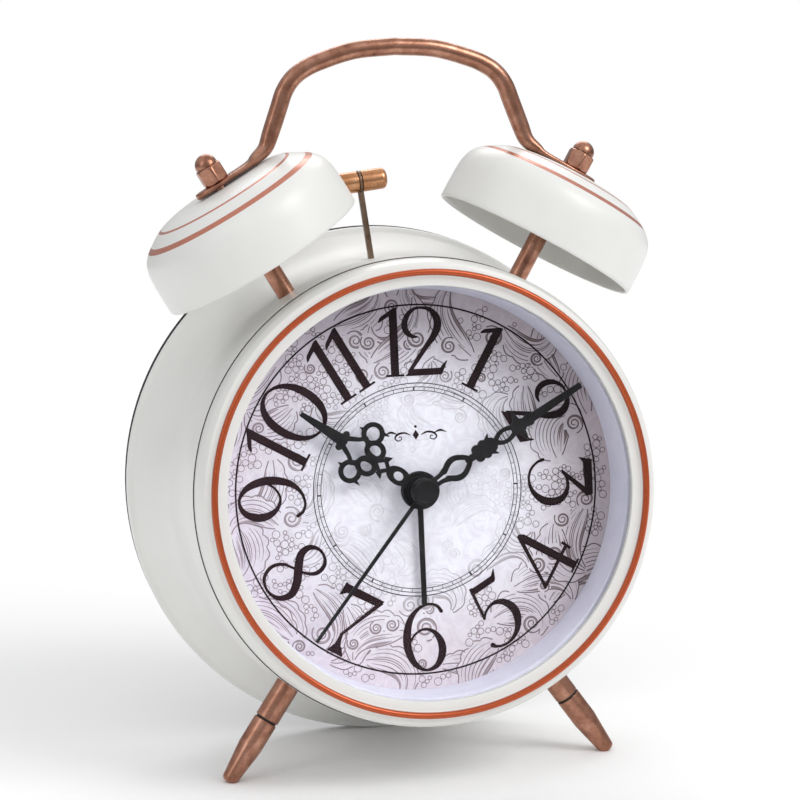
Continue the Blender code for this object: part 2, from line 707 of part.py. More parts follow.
def build_hour_wheel():
    wheel = teeth(36, MOTION_SPACING * 36 / 45, towards((0, 0), MOTION_AXIS) + math.pi / 36)
    bm = bmesh.new()
    stack(bm, [
        (wheel, *level("B")), arbor(2.15, LEVEL["B"], HOUR_HAND_DEPTH - 0.2, 16),
    ], bore=circle(1.65, 12))  # fmt: skip
    place("hour_wheel", bm, GEAR_PLASTIC, face_frame())


def build_alarm_wheels():
    wheel = teeth(30, ALARM_SPACING * 30 / 45, towards((0, 0), ALARM_AXIS))
    bm = bmesh.new()
    stack(bm, [
        (wheel, *level("A")), arbor(3.1, LEVEL["A"], ALARM_HAND_DEPTH - 0.2, 20),
    ], bore=circle(2.5, 16))  # fmt: skip
    place("alarm_wheel", bm, GEAR_PLASTIC, face_frame())

    pinion = teeth(15, ALARM_SPACING * 15 / 45, towards(ALARM_AXIS, (0, 0)) + math.pi / 15)
    bm = bmesh.new()
    stack(bm, [
        arbor(1.2, PLATE_BACK + 1.5, LEVEL["A"] + WHEEL_THICKNESS), (pinion, *level("A")),
        arbor(0.8, LEVEL["A"], 18.8),
    ])  # fmt: skip
    place("alarm_set_pinion", bm, GEAR_PLASTIC, face_frame(ALARM_AXIS))


def build_relay_wheel():
    centre_way = towards(RELAY_AXIS, (0, 0))
    wheel = teeth(30, ROTOR_SPACING * 30 / 38, towards(RELAY_AXIS, ROTOR_AXIS))
    pinion = teeth(6, TRAIN_SPACING * 6 / 54, centre_way + math.pi / 6)
    bm = bmesh.new()
    stack(bm, [
        arbor(0.5, 31.0, LEVEL["G"] + 0.8), (wheel, -(LEVEL["G"] + 0.8), -LEVEL["G"]),
        arbor(0.6, LEVEL["G"], LEVEL["F"] + WHEEL_THICKNESS, 6), (pinion, *level("F")),
        arbor(0.5, LEVEL["F"], 27.7),
    ])  # fmt: skip
    place("relay_wheel", bm, GEAR_PLASTIC, face_frame(RELAY_AXIS))


def build_rotor():
    way = towards(ROTOR_AXIS, RELAY_AXIS)
    pinion = teeth(8, ROTOR_SPACING * 8 / 38, way + math.pi / 8)
    bm = bmesh.new()
    stack(bm, [
        (pinion, -(LEVEL["G"] + 0.8), -(LEVEL["G"] - 0.3)), arbor(0.7, LEVEL["G"] - 0.3, 29.0, 8),
        arbor(2.4, 29.0, 27.2, 20), arbor(0.5, 27.2, 22.0, 8),
    ])  # fmt: skip
    place("rotor", bm, STEEL, face_frame(ROTOR_AXIS))


def build_stator_and_coil():
    x, z = ROTOR_AXIS
    bm = bmesh.new()
    plate = wall(bm, rectangle((x - 5, -25.5), (x + 11, z + 4.6)), -28.7, -27.6)
    hole = wall(bm, circle(2.9, 20, ROTOR_AXIS), -28.7, -27.6)
    cap(bm, plate[0], hole[0])
    cap(bm, plate[1], hole[1])
    place("stator", bm, STEEL, face_frame())

    half, core, flange = 7.5, 2.6, 3.6
    profile = [(0, -half), (flange, -half), (flange, -half + 0.8), (core + 0.6, -half + 0.8)]
    profile += [(core + 0.6, half - 0.8), (flange, half - 0.8), (flange, half), (0, half)]
    along_x = Matrix.Translation((x + 3, 23.6, -22.0)) @ Matrix.Rotation(math.pi / 2, 4, "Y")
    turned("coil", profile, COPPER, along_x, sides=20)


def build_circuit_board():
    bm = bmesh.new()
    stack(bm, [(rectangle((-27.5, -26.0), (6.0, -18.0)), -28.4, -27.4)])
    place("circuit_board", bm, BOARD, face_frame())


# ---------------------------------------------------------------- hands


def hand_frame(minutes_of_dial):
    """Frame of a hand that points along Y, turned clockwise by a share of 60 minutes of the dial."""
    return FACE @ Matrix.Rotation(-2 * math.pi * minutes_of_dial / 60, 4, "Z")


def blade_outline(hub, tail, stations):
    """Mirror-image outline round a hub, from the tail to the tip: stations are (height, half width)."""
    right = [(tail_width, height) for height, tail_width in stations]
    arc = []
    for step in range(9):
        turn = math.radians(-60 + 15 * step)
        arc.append((hub * math.cos(turn), hub * math.sin(turn)))
    outline = [(0.9, -tail)] if tail else []
    outline += arc + right
    return outline + [(-x, y) for x, y in reversed(outline)]


def build_hand(name, minutes, depth, hub, bore, tail, stations, paint):
    bm = bmesh.new()
    outline = blade_outline(hub, tail, stations)
    stack(bm, [(outline, -(depth + BLADE), -depth)], bore=circle(bore, 14) if bore else None)
    place(name, bm, paint, hand_frame(minutes))


def build_hands():
    hour = [(8, 0.7), (14, 2.4), (20, 1.0), (26, 1.6), (28, 0.6), (32, 0.15)]
    minute = [(8, 0.7), (13, 1.6), (19, 0.8), (25, 2.2), (29, 0.6), (34, 1.0), (43, 0.15)]
    build_hand("alarm_hand", ALARM_SET / 12, ALARM_HAND_DEPTH, 4.3, 3.4, 0, [(8, 0.55), (26.5, 0.3)], BLACK_PAINT)
    build_hand("hour_hand", SHOWN_TIME / 12, HOUR_HAND_DEPTH, 4.2, 2.45, 0, hour, BLACK_PAINT)
    build_hand("minute_hand", SHOWN_TIME % 60, MINUTE_HAND_DEPTH, 3.0, 1.6, 0, minute, BLACK_PAINT)

    bm = bmesh.new()
    outline = blade_outline(3.3, 0, [(6, 0.45), (42, 0.35)])
    low, high = -(SECOND_HAND_DEPTH + BLADE), -SECOND_HAND_DEPTH
    blade = wall(bm, outline, low, high)
    cap(bm, blade[0])
    button = circle(3.1, 20)
    crown = wall(bm, button, high, high + 2.4)
    cap(bm, blade[1], crown[0])
    cap(bm, crown[1])
    place("second_hand", bm, BLACK_PAINT, hand_frame(SHOWN_SECOND))


# ---------------------------------------------------------------- back


def knurled(radius, ridges=20):
    return [
        ((radius if i % 2 else radius - 0.5) * math.cos(math.pi * i / ridges),
         (radius if i % 2 else radius - 0.5) * math.sin(math.pi * i / ridges))
        for i in range(2 * ridges)
    ]  # fmt: skip


def build_knob(name, at):
    bm = bmesh.new()
    stack(bm, [
        (knurled(5.4), -69.0, -(COVER_BACK + 0.7)),
        arbor(1.5, COVER_BACK + 0.7, PLATE_BACK + 1.5 + GAP, 12),
    ])  # fmt: skip
    place(name, bm, BLACK_PLASTIC, face_frame(at))


def build_back_cover():
    """Moulded disc with a locating skirt, a battery tray, and holes for knobs, button, switch and screws."""
    bm = bmesh.new()
    skirt_out, skirt_in, skirt_front = 57.0, 55.9, 56.6
    edge = wall(bm, circle(COVER_R, 40), -COVER_BACK, -COVER_FRONT)
    outside = wall(bm, circle(skirt_out, 32), -COVER_FRONT, -skirt_front)
    inside = wall(bm, circle(skirt_in, 32), -COVER_FRONT, -skirt_front)
    cap(bm, edge[1], outside[0])
    cap(bm, outside[1], inside[1])

    low, high = (-TRAY_HALF_X, TRAY_BOTTOM), (TRAY_HALF_X, TRAY_TOP)
    grown_low = (low[0] - TRAY_WALL, low[1] - TRAY_WALL)
    grown_high = (high[0] + TRAY_WALL, high[1] + TRAY_WALL)
    box = wall(bm, rectangle(grown_low, grown_high), -COVER_FRONT, -TRAY_FRONT)
    pocket = wall(bm, rectangle(low, high), -COVER_BACK, -(TRAY_FRONT + TRAY_WALL))
    cap(bm, box[1])
    cap(bm, pocket[1])

    outlines = [circle(2.1, 14, MOTION_AXIS), circle(2.1, 14, ALARM_AXIS), circle(3.6, 20, LIGHT_BUTTON_AT)]
    outlines += [circle(1.6, 10, pillar) for pillar in PILLARS]
    x, z = ALARM_SWITCH_AT
    outlines.append(rectangle((x - 4.5, z - 1.6), (x + 4.5, z + 1.6)))
    holes = [wall(bm, outline, -COVER_BACK, -COVER_FRONT) for outline in outlines]
    cap(bm, inside[0], box[0], *[hole[1] for hole in holes])
    cap(bm, edge[0], pocket[0], *[hole[0] for hole in holes])
    place("back_cover", bm, BLACK_PLASTIC, face_frame())


def build_battery_door():
    bm = bmesh.new()
    low = (-TRAY_HALF_X + GAP, TRAY_BOTTOM + GAP)
    high = (TRAY_HALF_X - GAP, TRAY_TOP - GAP)
    plate = wall(bm, rectangle(low, high), -COVER_BACK, -DOOR_FRONT)
    grip = wall(bm, rectangle((-6, -38.2), (6, -36.2)), -(COVER_BACK + 0.8), -COVER_BACK)
    cap(bm, plate[1])
    cap(bm, plate[0], grip[1])
    cap(bm, grip[0])
    place("battery_door", bm, BLACK_PLASTIC, face_frame())


def build_battery(name, height, direction):
    half = CELL_LENGTH / 2
    profile = [
        (0, -half), (CELL_R - 0.6, -half), (CELL_R, -half + 0.6), (CELL_R, half - 0.6), (CELL_R - 0.6, half),
        (2.7, half), (2.7, half + 1.2), (0, half + 1.2),
    ]  # fmt: skip
    centre = Matrix.Translation((direction * CELL_SHIFT, CELL_DEPTH, height))
    along = centre @ Matrix.Rotation(direction * math.pi / 2, 4, "Y")
    turned(name, profile, CELL_SLEEVE, along, sides=18)


def build_battery_spring(name, height, direction):
    """Conical spring against the cell's flat end."""
    start, end = CELL_LENGTH / 2 - CELL_SHIFT + 0.75, TRAY_HALF_X - 0.75
    path = []
    steps = 40
    for i in range(steps + 1):
        part = i / steps
        turn = 2 * math.pi * 2.5 * part
        radius = 2.2 + 2.0 * part
        along = -direction * (start + (end - start) * part)
        path.append(Vector((along, CELL_DEPTH + radius * math.cos(turn), height + radius * math.sin(turn))))
    bm = bmesh.new()
    tube(bm, path, 0.3, 6)
    bmesh.ops.triangulate(bm, faces=bm.faces)
    place(f"{name}_spring", bm, STEEL, Matrix.Identity(4))


def build_light_button():
    bm = bmesh.new()
    stack(bm, [
        (circle(3.2, 20), -(COVER_BACK + 2.0), -(COVER_FRONT - GAP)), (circle(4.6, 20), -(COVER_FRONT - GAP), -59.6),
    ])  # fmt: skip
    place("light_button", bm, BLACK_PLASTIC, face_frame(LIGHT_BUTTON_AT))
    path = []
    turns, steps = 4, 56
    for i in range(steps + 1):
        turn = 2 * math.pi * turns * i / steps
        path.append(Vector((2.4 * math.cos(turn), 2.4 * math.sin(turn), -59.1 + 5.0 * i / steps)))
    bm = bmesh.new()
    tube(bm, path, 0.22, 6)
    bmesh.ops.triangulate(bm, faces=bm.faces)
    place("light_button_spring", bm, STEEL, face_frame(LIGHT_BUTTON_AT))


def build_alarm_switch():
    bm = bmesh.new()
    stack(bm, [
        (rectangle((-1.9, -1.2), (1.9, 1.2)), -(COVER_BACK + 1.4), -(COVER_FRONT - GAP)),
        (rectangle((-3.4, -2.6), (3.4, 2.6)), -(COVER_FRONT - GAP), -59.8),
    ])  # fmt: skip
    x, z = ALARM_SWITCH_AT
    place("alarm_switch", bm, BLACK_PLASTIC, face_frame((x - 2.0, z)))


def build_cover_screws():
    profile = [
        (0, COVER_BACK + 1.5), (1.2, COVER_BACK + 1.5), (2.4, COVER_BACK + 1.0), (2.5, COVER_BACK + GAP),
        (1.1, COVER_BACK + GAP), (1.1, CASE_BACK - 8), (0, CASE_BACK - 8),
    ]  # fmt: skip
    for number, pillar in enumerate(PILLARS, 1):
        turned(f"cover_screw_{number}", by_depth(profile), STEEL, face_frame(pillar), sides=12)


def build_backlight():
    """Small lamp that looks in through the top of the inner ring's back, above the dial."""
    profile = [(0, 47.7), (1.0, 47.9), (1.5, 48.7), (1.5, 50.4), (1.8, 50.4), (1.8, 51.4), (0, 51.4)]
    turned("backlight_lamp", profile, CLEAR, Matrix.Translation((0, 12.6, 0)), sides=12)


# ---------------------------------------------------------------- assembly


def stand_on_floor():
    """Moves the whole clock so that the middle of its box's bottom is at the origin."""
    bpy.context.view_layer.update()
    graph = bpy.context.evaluated_depsgraph_get()
    low, high = Vector((9, 9, 9)), Vector((-9, -9, -9))
    for child in clock.children:
        if child.hide_render:
            continue
        shape = child.evaluated_get(graph)
        for vertex in shape.data.vertices:
            point = shape.matrix_world @ vertex.co
            low = Vector(map(min, low, point))
            high = Vector(map(max, high, point))
    clock.location = (-(low.x + high.x) / 2, -(low.y + high.y) / 2, -low.z)


build_case()
build_bezel()
build_copper_ring()
build_lens()
build_inner_ring()
build_dial()
build_chassis()
for bell_side in (-1, 1):
    build_bell(bell_side)
    build_post(bell_side)
    build_acorn_nut(bell_side)
    build_leg(bell_side)
    build_inside_nuts(bell_side)
build_handle()
build_hammer()
build_motor()
build_movement_box()
build_second_wheel()
build_third_wheel()
build_centre_wheel()
build_cannon_pinion()
build_motion_wheel()
build_hour_wheel()
build_alarm_wheels()
build_relay_wheel()
build_rotor()
build_stator_and_coil()
build_circuit_board()
build_hands()
build_knob("time_set_knob", MOTION_AXIS)
build_knob("alarm_set_knob", ALARM_AXIS)
build_back_cover()
build_battery_door()
build_battery("upper_battery", CELL_HEIGHTS[0], 1)
build_battery("lower_battery", CELL_HEIGHTS[1], -1)
build_battery_spring("upper_battery", CELL_HEIGHTS[0], 1)
build_battery_spring("lower_battery", CELL_HEIGHTS[1], -1)
build_light_button()
build_alarm_switch()
build_cover_screws()
build_backlight()
stand_on_floor()
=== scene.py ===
"""Looks of the twin-bell alarm clock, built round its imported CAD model.

Everything is drawn in millimetres in the clock's own frame, as in the CAD: X to the right, Y back along
the dial's axis and Z up, with the origin in the middle of the copper ring. Flat and turned pieces about the
dial's axis are drawn in a face frame, whose Z points out of the dial. Each piece stands for the CAD node that
it is named after and rides on that node's body. The wheels and other pieces inside keep their CAD shape and
get a finished material.
"""

import json
import math
import random

import bmesh
import bpy
import numpy as np
from mathutils import Matrix, Vector


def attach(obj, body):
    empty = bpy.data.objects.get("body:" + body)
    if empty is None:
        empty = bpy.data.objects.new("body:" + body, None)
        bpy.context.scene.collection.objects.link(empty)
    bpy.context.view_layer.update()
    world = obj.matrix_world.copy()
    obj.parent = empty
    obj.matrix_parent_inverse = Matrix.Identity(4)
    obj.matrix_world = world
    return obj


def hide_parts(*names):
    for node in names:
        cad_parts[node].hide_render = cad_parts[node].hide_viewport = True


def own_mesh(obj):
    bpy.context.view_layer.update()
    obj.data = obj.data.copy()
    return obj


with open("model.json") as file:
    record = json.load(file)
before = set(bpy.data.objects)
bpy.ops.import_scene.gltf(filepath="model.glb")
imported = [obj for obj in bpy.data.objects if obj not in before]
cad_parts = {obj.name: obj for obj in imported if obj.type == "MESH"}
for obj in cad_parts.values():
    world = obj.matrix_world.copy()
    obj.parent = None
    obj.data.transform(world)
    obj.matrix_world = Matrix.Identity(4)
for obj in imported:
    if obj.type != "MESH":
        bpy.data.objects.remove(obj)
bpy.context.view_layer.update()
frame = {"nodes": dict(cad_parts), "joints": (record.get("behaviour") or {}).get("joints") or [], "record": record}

MM = 0.001
NODES = frame["nodes"]
RECORD = frame["record"]
BODIES = {node: body for body, nodes in RECORD["behaviour"]["bodies"].items() for node in nodes}
JOINTS = {joint["name"]: joint for joint in frame["joints"]}

# The minute hand turns about the dial's axis, and its joint sits in the middle of the copper ring.
DIAL_CENTRE = Vector(JOINTS["minute_hand_turn"]["pos_m"])
DIAL_BACK = Vector(JOINTS["minute_hand_turn"]["axis"]).normalized()
LEAN_BACK = math.asin(-DIAL_BACK.z)
CLOCK = Matrix.Translation(DIAL_CENTRE) @ Matrix.Rotation(-LEAN_BACK, 4, "X") @ Matrix.Scale(MM, 4)
FACE = Matrix(((1, 0, 0, 0), (0, 0, -1, 0), (0, 1, 0, 0), (0, 0, 0, 1)))

# Sizes that the CAD model shares, in millimetres
CASE_R = 53.6
CASE_FRONT = 8.2
CASE_WALL = 1.2
CASE_BACK = 60.8
FLARE_START = 38.0
RIM_R = 61.3
RIM_DEPTH = 58.9
COVER_R = 60.8
COVER_FRONT = 61.1
COVER_BACK = 62.3
RING_R = 50.0
OPENING_R = 46.9
LENS_FRONT = 2.5
LENS_BACK = 4.0
LENS_R = 48.2
DIAL_DEPTH = 15.7
DIAL_R = 48.2
BELL_ANGLE = math.radians(30.4)
BELL_LEAN = math.radians(3.0)
BELL_DEPTH = 26.5
BELL_RIM = 63.9
BELL_R = 24.7
BELL_HEIGHT = 18.4
POST_R = 2.15
TAB_THICKNESS = 1.2
ROD_R = 2.0
LEG_ANGLE = math.radians(35.0)
LEG_DEPTH = 24.4
LEG_R = 2.85
HAMMER_DEPTH = 37.0
PIVOT_HEIGHT = 20.0
HAMMER_REACH = 52.0
HAMMER_REST = math.radians(6.5)
HAMMER_SWING = math.radians(9.3)
SLOT_SPARE = 1.1  # beyond the hammer's swing at each end of its slot
BLADE = 0.45  # thickness of a hand
COVER_SPARE = 0.45  # added to the cover's radius, so that its black edge shows
COVER_LIFT = 0.4
MARK_DEPTH = 0.12  # how far a printed mark stands out


# ---------------------------------------------------------------- pieces and frames


def mesh_of(name, bm, at):
    """The mesh of a bmesh drawn in millimetres in a frame of the clock."""
    bmesh.ops.recalc_face_normals(bm, faces=bm.faces)
    mesh = bpy.data.meshes.new(name)
    bm.to_mesh(mesh)
    bm.free()
    mesh.transform(CLOCK @ at)
    return mesh


def add_object(name, data):
    made = bpy.data.objects.new(name, data)
    bpy.context.scene.collection.objects.link(made)
    return made


def piece(name, bm, paints, at=FACE, node=None, stands_for=True, angle=35, bevel=0.0):
    """Turns a bmesh drawn in millimetres in a frame of the clock into a piece that rides with a CAD node."""
    node = node or name
    mesh = mesh_of(name, bm, at)
    made = add_object(f"{name}_look" if stands_for else name, mesh)
    for paint in paints if isinstance(paints, list) else [paints]:
        mesh.materials.append(paint)
    mesh.shade_smooth()
    mesh.set_sharp_from_angle(angle=math.radians(angle))
    if bevel:
        soften(made, bevel)
    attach(made, BODIES[node])
    if stands_for:
        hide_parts(node)
    return made


def apply_modifiers(made):
    """Bakes an object's modifiers into its mesh."""
    graph = bpy.context.evaluated_depsgraph_get()
    old = made.data
    made.data = bpy.data.meshes.new_from_object(made.evaluated_get(graph))
    made.modifiers.clear()
    bpy.data.meshes.remove(old)


def soften(made, width):
    """Rounds a piece's sharp edges."""
    step = made.modifiers.new("edges", "BEVEL")
    step.width = width * MM
    step.segments = 2
    step.limit_method = "ANGLE"
    step.angle_limit = math.radians(40)
    apply_modifiers(made)
    made.data.shade_smooth()
    made.data.set_sharp_from_angle(angle=math.radians(50))


def cut(made, bm, at, angle=35):
    """Cuts the shape drawn in a bmesh out of a piece."""
    tool = add_object("tool", mesh_of("tool", bm, at))
    step = made.modifiers.new("cut", "BOOLEAN")
    step.operation = "DIFFERENCE"
    step.object = tool
    bpy.context.view_layer.update()
    apply_modifiers(made)
    bpy.data.objects.remove(tool)
    made.data.set_sharp_from_angle(angle=math.radians(angle))


def face_at(at):
    return Matrix.Translation((at[0], 0, at[1])) @ FACE


def on_circle(radius, degrees):
    turn = math.radians(degrees)
    return radius * math.cos(turn), radius * math.sin(turn)


def side_frame(side, angle, lean, depth, downwards=False):
    """Frame on the case's axis: Z points out along a post or leg, and Y back."""
    up = -1 if downwards else 1
    outwards = Vector(
        (side * math.sin(angle) * math.cos(lean), -math.sin(lean), up * math.cos(angle) * math.cos(lean))
    )
    back = Vector((0, 1, 0))
    back = (back - outwards * back.dot(outwards)).normalized()
    turn = Matrix((back.cross(outwards), back, outwards)).transposed().to_4x4()
    return Matrix.Translation((0, depth, 0)) @ turn


def bell_frame(side, along=0.0):
    return side_frame(side, BELL_ANGLE, BELL_LEAN, BELL_DEPTH) @ Matrix.Translation((0, 0, along))


def side_name(side):
    return "left" if side < 0 else "right"


# ---------------------------------------------------------------- mesh building


def catmull(points, per=8, closed=False):
    """Smooth curve through points of any number of coordinates, as an array."""
    knots = np.array(points, float)
    if closed:
        knots = np.vstack([knots[-1], knots, knots[:2]])
    else:
        knots = np.vstack([2 * knots[0] - knots[1], knots, 2 * knots[-1] - knots[-2]])
    rows = []
    for a, b, c, d in zip(knots, knots[1:], knots[2:], knots[3:]):
        for t in np.arange(per) / per:
            rows.append(
                b + 0.5 * t * (c - a + t * (2 * a - 5 * b + 4 * c - d + t * (3 * (b - c) + d - a)))
            )
    if not closed:
        rows.append(knots[-2])
    return np.array(rows)


def rounded(corners, steps=5):
    """An outline whose corners are rounded by the radius given as a corner's third number."""
    points = []
    for i, (x, y, *fillet) in enumerate(corners):
        here = Vector((x, y))
        if not fillet:
            points.append((x, y))
            continue
        before = Vector(corners[i - 1][:2]) - here
        after = Vector(corners[(i + 1) % len(corners)][:2]) - here
        half = before.angle(after) / 2
        reach = min(fillet[0] / math.tan(half), 0.48 * before.length, 0.48 * after.length)
        radius = reach * math.tan(half)
        centre = here + (before.normalized() + after.normalized()).normalized() * radius / math.sin(half)
        start = here + before.normalized() * reach - centre
        end = here + after.normalized() * reach - centre
        for step in range(steps + 1):
            spoke = start.lerp(end, step / steps).normalized() * radius
            points.append(tuple(centre + spoke))
    return points


def lathe(bm, profile, sides=128, closed=True, paints=None, swell=None):
    """Turns (radius, height) points about Z. paints gives each band's material, and
    swell(turn, radius, height) a radius that changes round the turn."""
    rings = []
    for radius, height in profile:
        if radius < 1e-6:
            rings.append([bm.verts.new((0, 0, height))])
            continue
        ring = []
        for i in range(sides):
            turn = 2 * math.pi * i / sides
            reach = swell(turn, radius, height) if swell else radius
            ring.append(bm.verts.new((reach * math.cos(turn), reach * math.sin(turn), height)))
        rings.append(ring)
    pairs = list(zip(rings, rings[1:]))
    if closed and len(rings[0]) > 1 and len(rings[-1]) > 1:
        pairs.append((rings[-1], rings[0]))
    for band, (low, high) in enumerate(pairs):
        for i in range(sides):
            j = (i + 1) % sides
            if len(low) == 1:
                face = bm.faces.new((low[0], high[j], high[i]))
            elif len(high) == 1:
                face = bm.faces.new((low[i], low[j], high[0]))
            else:
                face = bm.faces.new((low[i], low[j], high[j], high[i]))
            if paints and band < len(paints):
                face.material_index = paints[band]


def turned(name, profile, paints, at=FACE, sides=128, **settings):
    bm = bmesh.new()
    lathe(bm, profile, sides)
    return piece(name, bm, paints, at, **settings)


def by_depth(profile):
    """(radius, depth, ...) points as the face frame's (radius, height, ...)."""
    return [(radius, -depth, *more) for radius, depth, *more in profile]


def circle(radius, sides=48, at=(0, 0)):
    turns = [2 * math.pi * i / sides for i in range(sides)]
    return [(at[0] + radius * math.cos(t), at[1] + radius * math.sin(t)) for t in turns]


def rectangle(low, high, fillet=0.0):
    corners = [(low[0], low[1]), (high[0], low[1]), (high[0], high[1]), (low[0], high[1])]
    return rounded([(*corner, fillet) for corner in corners]) if fillet else corners


def wall(bm, outline, low, high):
    """The sides of a prism. Returns its rings of edges at the two heights."""
    rings = [[bm.verts.new((x, y, height)) for x, y in outline] for height in (low, high)]
    count = len(outline)
    for i in range(count):
        j = (i + 1) % count
        bm.faces.new((rings[0][i], rings[0][j], rings[1][j], rings[1][i]))
    return [[bm.edges.get((ring[i], ring[(i + 1) % count])) for i in range(count)] for ring in rings]


def cap(bm, *rings):
    """Fills one flat level between an outline and the outlines inside it."""
    edges = [edge for ring in rings for edge in ring]
    bmesh.ops.triangle_fill(bm, use_beauty=True, use_dissolve=False, edges=edges, normal=(0, 0, 1))


def prism(bm, outlines, low, high):
    """A plate with holes, or several plates: outlines inside others are holes."""
    walls = [wall(bm, outline, low, high) for outline in outlines]
    cap(bm, *[ends[0] for ends in walls])
    cap(bm, *[ends[1] for ends in walls])


def sweep(bm, path, sizes, sides=24, power=2.0, across=Vector((0, 1, 0))):
    """A rod along a path. sizes are its half widths along across and square to it, and a power over 2
    squares it off."""
    rings = []
    for i, point in enumerate(path):
        ahead = (path[min(i + 1, len(path) - 1)] - path[max(i - 1, 0)]).normalized()
        side = (across - ahead * across.dot(ahead)).normalized()
        other = ahead.cross(side)
        wide, thick = sizes[i]
        ring = []
        for j in range(sides):
            turn = 2 * math.pi * j / sides
            x, y = math.cos(turn), math.sin(turn)
            x = math.copysign(abs(x) ** (2 / power), x)
            y = math.copysign(abs(y) ** (2 / power), y)
            ring.append(bm.verts.new(point + side * wide * x + other * thick * y))
        rings.append(ring)
    for low, high in zip(rings, rings[1:]):
        for i in range(sides):
            j = (i + 1) % sides
            bm.faces.new((low[i], low[j], high[j], high[i]))
    bm.faces.new(rings[0])
    bm.faces.new(rings[-1])


def add_shape(bm, shape):
    """Moves one bmesh's geometry into another."""
    mesh = bpy.data.meshes.new("shape")
    shape.to_mesh(mesh)
    shape.free()
    bm.from_mesh(mesh)
    bpy.data.meshes.remove(mesh)


# ---------------------------------------------------------------- drawn shapes

LONGEST_EDGE = 2.0  # of a traced outline


def stroke(points, per=6, smooth=True, closed=False):
    """A pen stroke through (x, y, half width) points, as a distance that is negative inside."""
    stations = catmull(points, per, closed) if smooth else np.array(points, float)
    if closed:
        stations = np.vstack([stations, stations[0]])

    def distance(x, y):
        nearest = np.full(x.shape, 1e9)
        for (ax, ay, aw), (bx, by, bw) in zip(stations, stations[1:]):
            dx, dy = bx - ax, by - ay
            along = np.clip(((x - ax) * dx + (y - ay) * dy) / (dx * dx + dy * dy + 1e-12), 0, 1)
            gap = np.hypot(x - ax - along * dx, y - ay - along * dy) - (aw + along * (bw - aw))
            nearest = np.minimum(nearest, gap)
        return nearest

    return distance


def plate(corners):
    """A convex polygon, its corners counter-clockwise, as a distance that is negative inside."""
    edges = stroke([(x, y, 0.0) for x, y in [*corners, corners[0]]], smooth=False)

    def distance(x, y):
        furthest = np.full(x.shape, -1e9)
        for (ax, ay), (bx, by) in zip(corners, corners[1:] + corners[:1]):
            length = math.hypot(bx - ax, by - ay)
            gap = ((x - ax) * (by - ay) - (y - ay) * (bx - ax)) / length
            furthest = np.maximum(furthest, gap)
        return np.where(furthest > 0, edges(x, y), furthest)

    return distance


def ellipse(centre, half_x, half_y):
    scale = min(half_x, half_y)
    return lambda x, y: (np.hypot((x - centre[0]) / half_x, (y - centre[1]) / half_y) - 1) * scale


def moved(shape, dx=0.0, dy=0.0, scale=1.0, turn=0.0):
    """A shape scaled about its origin, turned and then moved."""
    cos, sin = math.cos(turn), math.sin(turn)

    def distance(x, y):
        x, y = (x - dx) / scale, (y - dy) / scale
        return shape(cos * x + sin * y, cos * y - sin * x) * scale

    return distance


def mirrored(shape):
    return lambda x, y: shape(-x, y)


def joined(*shapes):
    return lambda x, y: np.minimum.reduce([shape(x, y) for shape in shapes])


def grown(shape, width):
    return lambda x, y: shape(x, y) - width


def without(shape, *holes):
    return lambda x, y: np.maximum.reduce([shape(x, y)] + [-hole(x, y) for hole in holes])


def traced(shape, low, high, pitch):
    """Outlines of a drawn shape: the loops where its distance is zero on a grid of that pitch."""
    xs = np.arange(low[0], high[0], pitch)
    ys = np.arange(low[1], high[1], pitch)
    field = shape(*np.meshgrid(xs, ys, indexing="ij"))
    inside = field < 0
    count = inside[:-1, :-1].astype(int) + inside[1:, :-1] + inside[1:, 1:] + inside[:-1, 1:]
    follows = {}
    for i, j in zip(*np.nonzero((count > 0) & (count < 4))):
        corners = [(i, j), (i + 1, j), (i + 1, j + 1), (i, j + 1)]
        state = [bool(inside[corner]) for corner in corners]
        for k in range(4):
            if state[k] and not state[(k + 1) % 4]:
                m = (k + 1) % 4
                while not state[(m + 1) % 4]:
                    m = (m + 1) % 4
                leaving = (corners[k], corners[(k + 1) % 4])
                follows[leaving] = (corners[(m + 1) % 4], corners[m])
    loops = []
    while follows:
        start = next(iter(follows))
        loop = []
        edge = start
        while edge in follows:
            (a, b), edge = edge, follows.pop(edge)
            part = field[a] / (field[a] - field[b])
            x = xs[a[0]] + (xs[b[0]] - xs[a[0]]) * part
            y = ys[a[1]] + (ys[b[1]] - ys[a[1]]) * part
            loop.append((float(x), float(y)))
        loops.append(simpler(loop, 0.06 * pitch))
    return [loop for loop in loops if len(loop) > 2]


def simpler(loop, within):
    """Drops the points of a loop that lie within that distance of the line past them."""
    kept = [loop[0]]
    for i in range(1, len(loop)):
        (ax, ay), (px, py) = kept[-1], loop[i]
        bx, by = loop[(i + 1) % len(loop)]
        length = math.hypot(bx - ax, by - ay)
        aside = abs((px - ax) * (by - ay) - (py - ay) * (bx - ax))
        if length < 1e-9 or length > LONGEST_EDGE or aside / length > within:
            kept.append(loop[i])
    return kept


# ---------------------------------------------------------------- materials


def add_node(tree, kind, inputs=None, **settings):
    """A shader node. Its inputs are values, or other nodes' outputs to link."""
    made = tree.nodes.new("ShaderNode" + kind)
    for key, value in settings.items():
        setattr(made, key, value)
    for socket, value in (inputs or {}).items():
        if isinstance(value, bpy.types.NodeSocket):
            tree.links.new(value, made.inputs[socket])
        else:
            made.inputs[socket].default_value = value
    return made


